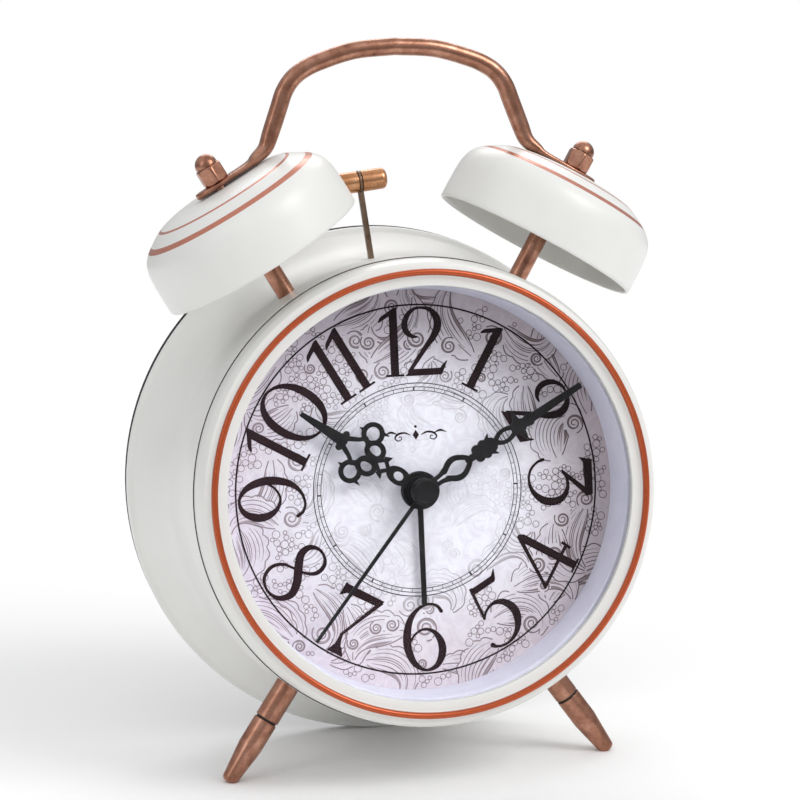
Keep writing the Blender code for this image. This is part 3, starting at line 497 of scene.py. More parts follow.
class Finish:
    """A Principled material, with short calls for the procedural nodes that feed it."""

    def __init__(self, name, **sockets):
        self.made = bpy.data.materials.new(name)
        self.made.use_nodes = True
        self.tree = self.made.node_tree
        self.shader = self.tree.nodes["Principled BSDF"]
        for socket, value in sockets.items():
            self.shader.inputs[socket.replace("_", " ")].default_value = value
        place = add_node(self.tree, "TexCoord").outputs["Object"]
        self.millimetres = self.add(
            "Mapping",
            {"Vector": place, "Location": DIAL_CENTRE, "Rotation": (-LEAN_BACK, 0, 0), "Scale": (MM, MM, MM)},
            vector_type="TEXTURE",
        ).outputs["Vector"]

    def add(self, kind, inputs=None, **settings):
        return add_node(self.tree, kind, inputs, **settings)

    def link(self, socket, value):
        self.tree.links.new(value, self.shader.inputs[socket])

    def stretched(self, x, y, z):
        scale = self.add("VectorMath", {0: self.millimetres, 1: (x, y, z)}, operation="MULTIPLY")
        return scale.outputs["Vector"]

    def noise(self, per_mm, detail=3.0, roughness=0.55, distortion=0.0, vector=None):
        inputs = {
            "Vector": vector or self.millimetres, "Scale": per_mm, "Detail": detail,
            "Roughness": roughness, "Distortion": distortion,
        }  # fmt: skip
        return self.add("TexNoise", inputs).outputs["Fac"]

    def ramp(self, factor, *stops):
        """A colour ramp: each stop is (position, colour)."""
        made = self.add("ValToRGB", {"Fac": factor})
        marks = made.color_ramp.elements
        while len(marks) < len(stops):
            marks.new(0.5)
        for mark, (position, colour) in zip(marks, stops):
            mark.position = position
            mark.color = (*colour, 1) if len(colour) == 3 else colour
        return made.outputs["Color"]

    def between(self, factor, low, high):
        """Maps a factor from 0.3 and 0.7, where noise lies, to two values."""
        inputs = {"Value": factor, "From Min": 0.3, "From Max": 0.7, "To Min": low, "To Max": high}
        return self.add("MapRange", inputs).outputs["Result"]

    def mix(self, factor, first, second, blend="MIX"):
        made = self.add("Mix", {"Factor": factor}, data_type="RGBA", blend_type=blend)
        for socket, value in ((made.inputs[6], first), (made.inputs[7], second)):
            if isinstance(value, bpy.types.NodeSocket):
                self.tree.links.new(value, socket)
            else:
                socket.default_value = (*value, 1)
        return made.outputs[2]

    def math(self, operation, first, second=0.0):
        return self.add("Math", {0: first, 1: second}, operation=operation).outputs["Value"]

    def bump(self, height, strength, depth_mm):
        made = self.add("Bump", {"Height": height, "Strength": strength, "Distance": depth_mm * MM})
        self.link("Normal", made.outputs["Normal"])


def enamel(name, colour, shade):
    """Satin sprayed paint with a little orange peel."""
    finish = Finish(name, Coat_Weight=0.12, Coat_Roughness=0.25)
    cloudy = finish.noise(0.06, 2)
    finish.link("Base Color", finish.ramp(cloudy, (0.35, shade), (0.65, colour)))
    finish.link("Roughness", finish.between(finish.noise(1.2, 3), 0.34, 0.44))
    finish.bump(finish.noise(2.6, 2), 0.05, 0.03)
    return finish.made


def antique_copper(name, dark, middle, bright):
    """Copper plating that was darkened and rubbed back: cloudy patches under a fine grain."""
    finish = Finish(name, Metallic=1.0)
    patches = finish.noise(0.35, 3, 0.5)
    grain = finish.noise(9.0, 2, 0.7)
    worn = finish.math("ADD", finish.math("MULTIPLY", patches, 0.5), finish.math("MULTIPLY", grain, 0.5))
    finish.link("Base Color", finish.ramp(worn, (0.34, dark), (0.50, middle), (0.66, bright)))
    finish.link("Roughness", finish.between(worn, 0.34, 0.24))
    finish.bump(grain, 0.10, 0.02)
    return finish.made


def metallic_line(name, dark, bright, metallic=0.65):
    """Copper-coloured paint with flakes."""
    finish = Finish(name, Metallic=metallic, Coat_Weight=0.3, Coat_Roughness=0.15)
    flakes = finish.noise(6.0, 2, 0.7)
    finish.link("Base Color", finish.ramp(flakes, (0.38, dark), (0.62, bright)))
    finish.link("Roughness", finish.between(finish.noise(3.0), 0.28, 0.42))
    finish.bump(flakes, 0.08, 0.02)
    return finish.made


def moulded(name, low, high, roughness=0.45, grain=0.10, **sockets):
    """Moulded plastic with a spark-eroded texture."""
    finish = Finish(name, **sockets)
    finish.link("Base Color", finish.ramp(finish.noise(0.25, 3), (0.35, low), (0.65, high)))
    finish.link("Roughness", finish.between(finish.noise(2.0), roughness - 0.06, roughness + 0.08))
    finish.bump(finish.noise(5.0, 3, 0.7), grain, 0.03)
    return finish.made


def metal(name, low, high, roughness=0.3, stretch=(0.3, 6.0, 6.0)):
    """Bare metal with fine lines where it was rolled, drawn or turned."""
    finish = Finish(name, Metallic=1.0)
    lines = finish.noise(1.0, 3, 0.6, vector=finish.stretched(*stretch))
    finish.link("Base Color", finish.ramp(lines, (0.35, low), (0.65, high)))
    finish.link("Roughness", finish.between(lines, roughness - 0.07, roughness + 0.09))
    finish.bump(lines, 0.06, 0.02)
    return finish.made


def winding(name):
    """Layers of enamelled wire round a bobbin that lies along X."""
    finish = Finish(name, Metallic=0.8, Roughness=0.3)
    wires = finish.add("TexWave", {"Vector": finish.millimetres, "Scale": 3.0, "Distortion": 0.3})
    shades = ((0.0, (0.10, 0.03, 0.01)), (0.6, (0.62, 0.26, 0.10)), (1.0, (0.80, 0.42, 0.20)))
    finish.link("Base Color", finish.ramp(wires.outputs["Fac"], *shades))
    finish.bump(wires.outputs["Fac"], 0.5, 0.1)
    return finish.made


def circuit(name):
    """Solder mask over tracks."""
    finish = Finish(name, Coat_Weight=0.4)
    tracks = finish.add("TexBrick", {
        "Vector": finish.millimetres, "Scale": 0.35, "Mortar Size": 0.05,
        "Color1": (0.02, 0.16, 0.05, 1), "Color2": (0.03, 0.20, 0.07, 1), "Mortar": (0.06, 0.34, 0.12, 1),
    })  # fmt: skip
    finish.link("Base Color", tracks.outputs["Color"])
    finish.link("Roughness", finish.between(finish.noise(2.0), 0.25, 0.4))
    return finish.made


def clear_glass(name):
    """Flat glass that lets lamps straight through, as a thin pane does."""
    finish = Finish(name, Roughness=0.0, IOR=1.15, Transmission_Weight=1.0)
    tint = finish.ramp(finish.noise(0.05), (0.3, (0.98, 0.99, 1.0)), (0.7, (1.0, 1.0, 1.0)))
    finish.link("Base Color", tint)
    shadow = finish.add("LightPath").outputs["Is Shadow Ray"]
    through = finish.add("BsdfTransparent").outputs["BSDF"]
    mixed = finish.add("MixShader", {0: shadow, 1: finish.shader.outputs["BSDF"], 2: through})
    finish.tree.links.new(mixed.outputs["Shader"], finish.tree.nodes["Material Output"].inputs["Surface"])
    return finish.made


def dial_tint_with_painted_shade(finish, middle, left, right, start=20.0, end=52.0):
    """A colour that goes from the dial's middle to its left and right edges. The darker edges, darkest at the
    right and top, are painted shade.
    """
    parts = finish.add("SeparateXYZ", {"Vector": finish.millimetres}).outputs
    sideways = finish.math("MULTIPLY", parts["X"], 0.75)
    upwards = finish.math("MULTIPLY", parts["Z"], 0.4)
    across = finish.math("ADD", sideways, upwards)
    side = finish.add("MapRange", {"Value": across, "From Min": -30.0, "From Max": 30.0}).outputs["Result"]
    height = finish.math("MULTIPLY", parts["Z"], parts["Z"])
    width = finish.math("MULTIPLY", parts["X"], parts["X"])
    radius = finish.math("SQRT", finish.math("ADD", height, width))
    cloud = finish.math("MULTIPLY", finish.noise(0.07, 3), 10.0)
    reach = finish.math("ADD", radius, cloud)
    outwards = finish.add(
        "MapRange", {"Value": reach, "From Min": start, "From Max": end}, interpolation_type="SMOOTHSTEP"
    ).outputs["Result"]
    edge = finish.mix(side, left, right)
    return finish.mix(outwards, middle, edge)


def printed_paper(name):
    finish = Finish(name, Roughness=0.6)
    # The paper's darker edges, most at the right and top, are painted shade.
    tint = dial_tint_with_painted_shade(finish, (0.86, 0.86, 0.93), (0.76, 0.70, 0.76), (0.50, 0.44, 0.46))
    wisps = finish.noise(0.22, 5, 0.6, 2.5)
    light = finish.ramp(wisps, (0.38, (0.90, 0.88, 0.90)), (0.58, (1.0, 1.0, 1.0)))
    finish.link("Base Color", finish.mix(1.0, tint, light, "MULTIPLY"))
    finish.bump(finish.noise(6.0), 0.05, 0.02)
    return finish.made


def print_ink(name, middle, left, right):
    finish = Finish(name, Roughness=0.8, Specular_IOR_Level=0.15)
    # Painted shade: the ink darkens towards the dial's right and top edges.
    tint = dial_tint_with_painted_shade(finish, middle, left, right, 22.0, 38.0)
    uneven = finish.ramp(finish.noise(0.8), (0.3, (0.85, 0.85, 0.85)), (0.7, (1.0, 1.0, 1.0)))
    finish.link("Base Color", finish.mix(1.0, tint, uneven, "MULTIPLY"))
    return finish.made


WHITE = enamel("warm_white_enamel", (0.83, 0.83, 0.80), (0.80, 0.80, 0.77))
COPPER = antique_copper("antique_copper", (0.20, 0.085, 0.055), (0.40, 0.19, 0.125), (0.58, 0.32, 0.23))
HEAD_COPPER = antique_copper("bright_copper", (0.38, 0.16, 0.07), (0.56, 0.27, 0.13), (0.70, 0.40, 0.23))
BRONZE = antique_copper("dark_bronze", (0.10, 0.06, 0.04), (0.24, 0.16, 0.11), (0.40, 0.30, 0.22))
# Near-black painted shade for the gap between bezel and case, and for the leg's groove.
SEAM_SHADE = moulded("painted_seam_shade", (0.03, 0.018, 0.012), (0.05, 0.03, 0.02), 0.7)
RING_PAINT = metallic_line("copper_ring_paint", (0.40, 0.060, 0.014), (0.58, 0.11, 0.030))
STRIPE_PAINT = metallic_line("copper_stripe_paint", (0.42, 0.13, 0.08), (0.66, 0.26, 0.17), 0.5)
# The inner ring is white: its lavender grey is painted shade with a lilac tint of light.
REHAUT_IN_PAINTED_SHADE = moulded("white_inner_ring_lavender_painted_shade", (0.74, 0.74, 0.86), (0.78, 0.78, 0.89), 0.5, 0.04)
WHITE_PLASTIC = moulded("white_plastic", (0.72, 0.72, 0.70), (0.78, 0.78, 0.75))
BLACK_PLASTIC = moulded("black_plastic", (0.016, 0.016, 0.017), (0.020, 0.020, 0.022), 0.42, 0.25)
KNOB_PLASTIC = moulded("black_knob_plastic", (0.012, 0.012, 0.013), (0.020, 0.020, 0.021), 0.32, 0.10)
MARK_PAINT = moulded("pale_mark_paint", (0.50, 0.50, 0.50), (0.60, 0.60, 0.60), 0.5)
HAND_PAINT = moulded(
    "black_hand_paint", (0.006, 0.005, 0.006), (0.011, 0.010, 0.011), 0.42, 0.06, Specular_IOR_Level=0.25
)
ACETAL = moulded("natural_acetal", (0.70, 0.67, 0.58), (0.78, 0.76, 0.68), 0.4, 0.05)
STEEL = metal("bright_steel", (0.46, 0.46, 0.47), (0.64, 0.64, 0.65))
BRASS = metal("bright_brass", (0.56, 0.38, 0.13), (0.74, 0.54, 0.24), 0.26)
SLEEVE = metal("battery_sleeve_paint", (0.03, 0.05, 0.12), (0.05, 0.08, 0.17), 0.3, (4.0, 0.5, 0.5))
SLEEVE_BAND = metal("battery_band_paint", (0.52, 0.28, 0.12), (0.66, 0.38, 0.18), 0.3, (4.0, 0.5, 0.5))
COIL_WIRE = winding("enamelled_copper_winding")
SOLDER_MASK = circuit("green_solder_mask")
GLASS = clear_glass("clear_glass")
LAMP = moulded("frosted_lamp", (0.75, 0.78, 0.82), (0.85, 0.88, 0.92), 0.2, 0.02)
PAPER = printed_paper("lilac_dial_paper")
# The inks darken towards the right and top of the dial: painted shade. The pale middle of the two ornament inks is
# where the print fades.
NUMERAL_INK = print_ink("numeral_ink", (0.022, 0.010, 0.013), (0.030, 0.014, 0.018), (0.016, 0.008, 0.009))
FINE_INK = print_ink("chapter_ink", (0.03, 0.02, 0.025), (0.03, 0.02, 0.025), (0.02, 0.012, 0.012))
LINE_INK = print_ink("ornament_line_ink", (0.79, 0.78, 0.84), (0.33, 0.26, 0.29), (0.12, 0.09, 0.09))
BAND_INK = print_ink("ornament_band_ink", (0.82, 0.81, 0.87), (0.50, 0.42, 0.46), (0.21, 0.165, 0.165))


# ---------------------------------------------------------------- case and front


def build_case():
    flare = [(CASE_R, CASE_FRONT, 0.15), (CASE_R, FLARE_START - 12)]
    steps = 22
    for step in range(steps + 1):
        part = step / steps
        radius = CASE_R + (RIM_R - 1.2 - CASE_R) * part**1.9
        flare.append((radius, FLARE_START + (RIM_DEPTH - 1.7 - FLARE_START) * part))
    bead = [(RIM_R, RIM_DEPTH - 1.0, 1.0), (RIM_R, CASE_BACK - 0.7, 0.9), (RIM_R - 1.5, CASE_BACK, 0.3)]
    inner = [(RIM_R - 2.9, CASE_BACK, 0.3), (RIM_R - 3.2, RIM_DEPTH - 1.2)]
    inner += [(radius - CASE_WALL, depth + 0.3) for radius, depth, *_ in reversed(flare[2:-1:4])]
    inner += [(CASE_R - CASE_WALL, CASE_FRONT, 0.3)]
    shell = turned("case_shell", rounded(by_depth(flare + bead + inner)), WHITE, sides=192)
    slot = bmesh.new()
    half, half_width = (CASE_R - PIVOT_HEIGHT) * math.tan(HAMMER_SWING) + SLOT_SPARE, 1.3
    opening = rectangle((-half, HAMMER_DEPTH - half_width), (half, HAMMER_DEPTH + half_width), 1.2)
    prism(slot, [opening], 48, 58)
    cut(shell, slot, Matrix.Identity(4))


def build_bezel():
    profile = [
        (CASE_R - 0.30, CASE_FRONT - 0.13, 0.05), (CASE_R - 0.5, 3.6, 6.0), (CASE_R - 1.5, 1.0, 1.1),
        (RING_R + 1.0, 0.7), (RING_R + 0.85, 0.45, 0.1), (RING_R - 0.85, 0.45, 0.1),
        (RING_R - 1.0, 0.7, 0.1), (OPENING_R, 0.95, 0.25), (OPENING_R, LENS_FRONT - 0.3),
        (LENS_R + 0.4, LENS_FRONT - 0.3), (LENS_R + 0.4, LENS_BACK), (CASE_R - 2.7, LENS_BACK + 0.6),
        (CASE_R - 2.9, 10.6, 0.3), (CASE_R - CASE_WALL - 0.4, 10.6, 0.3),
        (CASE_R - CASE_WALL - 0.4, CASE_FRONT - 0.02), (CASE_R - 0.04, CASE_FRONT - 0.03),
        (CASE_R - 0.04, CASE_FRONT - 0.12),
    ]  # fmt: skip
    made = turned("bezel", rounded(by_depth(profile)), [WHITE, SEAM_SHADE], sides=192)
    # The spigot's forward step at the seam is painted near-black: painted shade for the gap between bezel and
    # case.
    to_face = (CLOCK @ FACE).inverted()
    for face in made.data.polygons:
        place = to_face @ face.center
        spigot = math.hypot(place.x, place.y) > CASE_R - CASE_WALL - 0.6
        face.material_index = int(spigot and -place.z > CASE_FRONT - 0.14)


def build_copper_ring():
    half, seat = 0.72, -0.42
    arc = [math.radians(15 * step) for step in range(13)]
    bead = [(RING_R + half * math.cos(t), half * math.sin(t)) for t in arc]
    profile = [(RING_R + half, seat), *bead, (RING_R - half, seat)]
    turned("copper_ring", profile, RING_PAINT, sides=192)


def build_front_glass_and_ring():
    profile = [(0, LENS_FRONT), (LENS_R, LENS_FRONT, 0.2), (LENS_R, LENS_BACK, 0.2), (0, LENS_BACK)]
    turned("lens", rounded(by_depth(profile)), GLASS, sides=160)
    front = LENS_BACK + 0.3
    profile = [
        (OPENING_R - 0.3, front, 0.3), (LENS_R, front), (LENS_R, front + 0.8), (OPENING_R + 0.7, front + 0.9),
        (OPENING_R, DIAL_DEPTH - 0.05), (OPENING_R - 1.0, DIAL_DEPTH - 0.05, 0.2),
    ]  # fmt: skip
    turned("inner_ring", rounded(by_depth(profile)), REHAUT_IN_PAINTED_SHADE, sides=192)


# ---------------------------------------------------------------- bells, posts, handle, legs


def painted_profile(points, stripes):
    """A bell's outer profile, split where stripes start and end. stripes are (outer radius, inner radius).
    Returns the points, and the material of the band after each one."""
    marks = sorted((radius for stripe in stripes for radius in stripe), reverse=True)
    profile = [tuple(points[0])]
    for (r0, h0), (r1, h1) in zip(points, points[1:]):
        for mark in marks:
            if r0 > mark > r1:
                profile.append((mark, h0 + (h1 - h0) * (mark - r0) / (r1 - r0)))
        profile.append((r1, h1))
    paints = []
    for (r0, _), (r1, _) in zip(profile, profile[1:]):
        middle = (r0 + r1) / 2
        paints.append(int(any(outer > middle > inner for outer, inner in stripes)))
    return profile, paints


def build_bell(side):
    outer = catmull([
        (BELL_R, 0.3), (BELL_R, 4.5), (BELL_R - 0.2, 9.0), (BELL_R - 0.9, 11.8), (BELL_R - 2.1, 13.6),
        (21.0, 14.9), (17.0, 17.2), (12.5, BELL_HEIGHT - 0.2), (8.0, BELL_HEIGHT), (1.75, BELL_HEIGHT),
    ], 6)  # fmt: skip
    profile, paints = painted_profile(outer, [(21.9, 20.6), (17.4, 16.7)])
    inner = catmull([
        (1.75, BELL_HEIGHT - 0.9), (12.0, BELL_HEIGHT - 1.1), (16.6, 16.2), (20.3, 14.0),
        (BELL_R - 2.0, 11.6), (BELL_R - 1.1, 8.6), (BELL_R - 0.9, 4.0), (BELL_R - 0.9, 0.25),
    ], 4)  # fmt: skip
    lip = [(BELL_R - 0.75, 0.05), (BELL_R - 0.45, 0.0), (BELL_R - 0.15, 0.05)]
    bm = bmesh.new()
    lathe(bm, profile + [tuple(point) for point in inner] + lip, 160, paints=paints)
    piece(f"{side_name(side)}_bell", bm, [WHITE, STRIPE_PAINT], bell_frame(side, BELL_RIM), angle=60)


def build_post(side):
    low, foot, thread = 47.4, 53.2, 1.3
    top = BELL_RIM + BELL_HEIGHT - 0.9
    end = BELL_RIM + BELL_HEIGHT + 5.4
    profile = [(0, low), (thread, low), (thread, foot), (POST_R, foot, 0.1), (POST_R, top, 0.3)]
    profile += [(thread, top), (thread, end), (0, end)]
    turned(f"{side_name(side)}_bell_post", rounded(profile), COPPER, bell_frame(side), sides=48)


def hexagon_radius(turn, across_flats):
    """Distance from a hexagon's middle to its side, with its corners just rounded."""
    sixth = math.pi / 3
    away = (turn + sixth / 2) % sixth - sixth / 2
    return min(across_flats / 2 / math.cos(away), across_flats / 2 * 1.125)


def build_acorn_nut(side):
    flats, height, dome = 5.7, 4.1, 2.62
    seat = BELL_RIM + BELL_HEIGHT + TAB_THICKNESS * 1.4 + 0.12

    def swell(turn, radius, level):
        if level > height or radius < 3:
            return radius
        chamfer = 2.75 + 1.3 * min(level, height - level)
        return min(hexagon_radius(turn, flats), chamfer)

    arc = [math.radians(10 * step) for step in range(10)]
    rise = [0.02, 0.12, 0.24, 0.5, 1.0, height - 0.5, height - 0.24, height - 0.12, height - 0.02]
    profile = [(0, 0), (1.9, 0)] + [(3.1, level) for level in rise]
    profile += [(1.95, height + 0.02), (1.95, height + 0.25)]
    profile += [(dome * math.cos(t), height + 0.25 + dome * math.sin(t)) for t in arc[:-1]]
    profile.append((0, height + 0.25 + dome))
    bm = bmesh.new()
    lathe(bm, profile, 96, swell=swell)
    piece(f"{side_name(side)}_acorn_nut", bm, COPPER, bell_frame(side, seat), angle=30)


def build_handle():
    """Bent rod whose ends are pressed flat into tabs that lie on the bells."""
    top = BELL_RIM + BELL_HEIGHT + 0.1 + TAB_THICKNESS * 0.7
    along = Vector((math.cos(BELL_ANGLE), -math.sin(BELL_ANGLE)))
    post = Vector((math.sin(BELL_ANGLE), math.cos(BELL_ANGLE))) * top
    crown = [(0, 101.9), (9.5, 101.2), (17.6, 98.9), (21.6, 97.1), (24.3, 95.0), (26.2, 92.2), (27.4, 89.0)]
    rod = [(x, z, ROD_R, ROD_R) for x, z in crown] + [(29.6, 83.0, 2.0, 1.95), (31.0, 79.6, 2.2, 1.7)]
    flat = [(-10.4, 2.6, 1.35, 0.35), (-8.8, 2.9, 0.95, 0.05), (-6.2, 3.2, 0.82, 0), (-3, 3.3, 0.82, 0)]
    flat += [(0, 3.3, 0.82, 0), (2.2, 3.15, 0.82, 0), (3.7, 2.75, 0.82, 0), (4.9, 2.0, 0.8, 0)]
    flat += [(5.5, 1.2, 0.7, 0), (5.75, 0.5, 0.55, 0)]
    square_to = Vector((along.y, -along.x)) * -1
    tab = []
    for reach, wide, thick, lift in flat:
        point = post + along * reach + square_to * lift
        tab.append((point.x, point.y, wide, thick))
    half = catmull(rod + tab, 8)
    whole = [(-x, z, a, b) for x, z, a, b in half[:0:-1]] + [tuple(row) for row in half]
    slope = math.tan(BELL_LEAN) / math.cos(BELL_ANGLE)
    path = [Vector((x, BELL_DEPTH - z * slope, z)) for x, z, _, _ in whole]
    bm = bmesh.new()
    sweep(bm, path, [(a, b) for _, _, a, b in whole], sides=32, power=2.3)
    piece("handle", bm, COPPER, Matrix.Identity(4), angle=50)


def build_leg(side):
    outer = [
        (LEG_R - 0.25, 53.35), (LEG_R, 53.6), (LEG_R, 62.9, 0.12), (2.5, 63.0), (2.5, 63.45),
        (LEG_R, 63.55, 0.12), (LEG_R, 70.4, 6.0), (1.8, 79.8, 1.55), (0, 79.9),
    ]  # fmt: skip
    profile = rounded([(0, 48.0), (1.8, 48.0), (1.8, 53.3)] + outer, 8)
    bm = bmesh.new()
    lathe(bm, profile, 64)
    at = side_frame(side, LEG_ANGLE, 0, LEG_DEPTH, True)
    to_leg = (CLOCK @ at).inverted()
    floor_point = to_leg @ Vector((0, 0, 0))
    floor_normal = (to_leg.to_3x3() @ Vector((0, 0, 1))).normalized()
    everything = bm.verts[:] + bm.edges[:] + bm.faces[:]
    cut_edges = bmesh.ops.bisect_plane(
        bm, geom=everything, dist=1e-5, plane_co=floor_point, plane_no=floor_normal, clear_inner=True
    )["geom_cut"]
    rim = [item for item in cut_edges if isinstance(item, bmesh.types.BMEdge)]
    bmesh.ops.triangle_fill(bm, use_beauty=True, use_dissolve=False, edges=rim, normal=floor_normal)
    made = piece(f"{side_name(side)}_leg", bm, [COPPER, SEAM_SHADE], at, angle=40)
    # The groove is painted near-black: painted shade in the groove.
    groove_low, groove_high = 62.95, 63.5
    for face in made.data.polygons:
        height = (to_leg @ face.center).z
        face.material_index = int(groove_low < height < groove_high)


# ---------------------------------------------------------------- hammer


def hammer_frame():
    pin = Matrix.Translation((0, 0, PIVOT_HEIGHT)) @ FACE
    return pin @ Matrix.Rotation(HAMMER_REST, 4, "Z")


def build_hammer():
    at = hammer_frame()
    front, back = -(HAMMER_DEPTH - 0.5), -(HAMMER_DEPTH + 0.5)
    bm = bmesh.new()
    strip = [(-0.65, 2.6), (0.65, 2.6), (0.65, HAMMER_REACH - 2.0), (-0.65, HAMMER_REACH - 2.0)]
    shape = without(joined(plate(strip), ellipse((0, 0), 3.0, 3.0)), ellipse((0, 0), 1.4, 1.4))
    prism(bm, traced(shape, (-3.5, -3.5), (3.5, HAMMER_REACH), 0.1), back, front)
    loop = bmesh.new()
    ring = [(2.0, -0.3), (2.0, 0.3), (2.55, 0.3, 0.2)]
    ring += [(2.62, 0.15, 0.1), (2.62, -0.15, 0.1), (2.55, -0.3, 0.2)]
    lathe(loop, rounded(ring), 64)
    across = Matrix.Translation((0, HAMMER_REACH, -HAMMER_DEPTH)) @ Matrix.Rotation(math.pi / 2, 4, "Y")
    loop.transform(across)
    add_shape(bm, loop)
    piece("hammer_arm", bm, BRONZE, at)

    half, radius = 6.5, 2.5
    end = [(0, half), (radius, half, 2.4)]
    middle = [(radius, 0.5, 0.1), (1.9, 0.42), (1.9, -0.42), (radius, -0.5, 0.1)]
    profile = rounded(end + middle + [(radius, -half, 2.4), (0, -half)], 8)
    bm = bmesh.new()
    lathe(bm, profile, 64)
    piece("hammer_head", bm, HEAD_COPPER, at @ across)


# ---------------------------------------------------------------- dial: numerals, chapter ring, ornament

THICK, THIN = 0.054, 0.012
NUMERAL_HEIGHT = 15.6
NUMERAL_BASE = 26.2


def figure_one():
    stem = plate([(-THICK, 0), (THICK, 0), (THICK, 1.0), (-0.02, 0.975), (-THICK, 0.93)])
    flag = stroke([(0.02, 0.985, 0.010), (-0.08, 0.905, 0.024), (-0.17, 0.85, 0.022), (-0.215, 0.80, 0.004)])
    serif = plate([(-0.13, 0), (0.13, 0), (0.13, 0.018), (-0.13, 0.018)])
    return joined(stem, flag, serif)


def figure_two():
    curve = stroke([
        (-0.09, 0.56, 0.006), (-0.17, 0.575, 0.022), (-0.25, 0.65, 0.036), (-0.27, 0.77, 0.038),
        (-0.21, 0.90, 0.028), (-0.11, 0.975, 0.016), (0.0, 0.985, 0.013), (0.12, 0.95, 0.026),
        (0.21, 0.84, 0.047), (0.225, 0.71, 0.052), (0.16, 0.56, 0.042), (0.04, 0.41, 0.030),
        (-0.10, 0.22, 0.025), (-0.22, 0.06, 0.020),
    ])  # fmt: skip
    bar = plate([(-0.28, 0.0), (0.26, 0.0), (0.28, 0.085), (-0.17, 0.085)])
    flick = plate([(0.22, 0.05), (0.27, 0.02), (0.345, 0.19), (0.28, 0.13)])
    return joined(curve, bar, flick)


def figure_three():
    bar = plate([(-0.27, 0.86), (0.22, 0.88), (0.22, 0.985), (-0.27, 0.985)])
    flick = plate([(-0.33, 0.80), (-0.24, 0.88), (-0.24, 0.98), (-0.29, 0.985)])
    diagonal = plate([(-0.16, 0.53), (-0.12, 0.52), (0.24, 0.90), (0.22, 0.985), (0.14, 0.90)])
    bowl = stroke([
        (-0.13, 0.54, 0.010), (-0.02, 0.60, 0.014), (0.12, 0.60, 0.024), (0.25, 0.52, 0.040),
        (0.30, 0.38, 0.052), (0.27, 0.22, 0.048), (0.15, 0.075, 0.028), (-0.02, 0.012, 0.013),
        (-0.18, 0.04, 0.012), (-0.29, 0.14, 0.012), (-0.33, 0.24, 0.018),
    ])  # fmt: skip
    return joined(bar, flick, diagonal, bowl)


def figure_four():
    stem = plate([(0.02, 0.0), (0.125, 0.0), (0.125, 0.93), (0.085, 1.0), (0.02, 0.93)])
    diagonal = plate([(-0.43, 0.27), (-0.39, 0.27), (0.085, 0.97), (0.085, 1.0), (0.05, 1.0)])
    bar = plate([(-0.43, 0.255), (0.28, 0.255), (0.28, 0.29), (-0.43, 0.29)])
    tick = plate([(0.255, 0.20), (0.285, 0.20), (0.30, 0.35), (0.27, 0.35)])
    foot = plate([(-0.03, 0.0), (0.175, 0.0), (0.175, 0.018), (-0.03, 0.018)])
    return joined(stem, diagonal, bar, tick, foot)


def figure_five():
    stem = plate([(-0.20, 0.50), (-0.17, 0.50), (-0.11, 1.0), (-0.145, 1.0)])
    flag = plate([(-0.15, 0.90), (0.24, 0.90), (0.27, 0.985), (-0.14, 0.985)])
    flick = plate([(0.20, 0.90), (0.26, 0.92), (0.32, 1.06), (0.24, 0.985)])
    bowl = stroke([
        (-0.19, 0.51, 0.010), (-0.10, 0.59, 0.012), (0.03, 0.63, 0.018), (0.17, 0.58, 0.036),
        (0.26, 0.44, 0.052), (0.26, 0.28, 0.052), (0.17, 0.12, 0.036), (0.02, 0.025, 0.018),
        (-0.13, 0.01, 0.011), (-0.25, 0.06, 0.016), (-0.29, 0.11, 0.028),
    ])  # fmt: skip
    return joined(stem, flag, flick, bowl)


def figure_six():
    return stroke([
        (0.27, 0.87, 0.020), (0.21, 0.95, 0.016), (0.09, 0.985, 0.012), (-0.07, 0.93, 0.018),
        (-0.20, 0.78, 0.038), (-0.26, 0.56, 0.052), (-0.25, 0.33, 0.052), (-0.16, 0.12, 0.036),
        (0.0, 0.015, 0.014), (0.17, 0.07, 0.032), (0.26, 0.24, 0.050), (0.25, 0.42, 0.046),
        (0.15, 0.57, 0.024), (0.0, 0.62, 0.012), (-0.14, 0.55, 0.010), (-0.23, 0.42, 0.008),
    ])  # fmt: skip


def figure_seven():
    bar = plate([(-0.30, 0.87), (0.24, 0.885), (0.30, 0.985), (-0.28, 0.985)])
    flick = plate([(-0.345, 0.80), (-0.26, 0.87), (-0.26, 0.97), (-0.33, 1.0)])
    diagonal = plate([(-0.075, 0.28), (-0.045, 0.28), (0.30, 0.95), (0.27, 0.985), (0.22, 0.90)])
    foot = stroke([(-0.055, 0.30, 0.012), (-0.045, 0.18, 0.028), (-0.03, 0.08, 0.052), (-0.03, 0.045, 0.062)])
    base = plate([(-0.14, 0.0), (0.10, 0.0), (0.03, 0.11), (-0.085, 0.11)])
    return joined(bar, flick, diagonal, without(foot, plate([(-1, -1), (1, -1), (1, 0), (-1, 0)])), base)


def figure_eight():
    return stroke([
        (-0.10, 0.965, 0.018), (-0.19, 0.86, 0.034), (-0.17, 0.71, 0.050), (-0.03, 0.575, 0.056),
        (0.14, 0.44, 0.056), (0.24, 0.27, 0.046), (0.18, 0.09, 0.028), (0.0, 0.012, 0.012),
        (-0.18, 0.07, 0.018), (-0.26, 0.24, 0.020), (-0.20, 0.41, 0.015), (-0.05, 0.52, 0.011),
        (0.11, 0.63, 0.014), (0.19, 0.77, 0.024), (0.15, 0.92, 0.022), (0.03, 0.985, 0.013),
    ], closed=True)  # fmt: skip


def figure_nine():
    return moved(figure_six(), 0, 1, turn=math.pi)


def figure_zero():
    stations = []
    for step in range(24):
        turn = 2 * math.pi * step / 24
        width = THIN + (THICK - THIN) * abs(math.cos(turn + 0.25)) ** 1.6
        reach_x, reach_y = 0.36 - width * 0.5, 0.5 - THIN
        stations.append((reach_x * math.cos(turn), 0.5 + reach_y * math.sin(turn), width))
    return stroke(stations, per=3, closed=True)


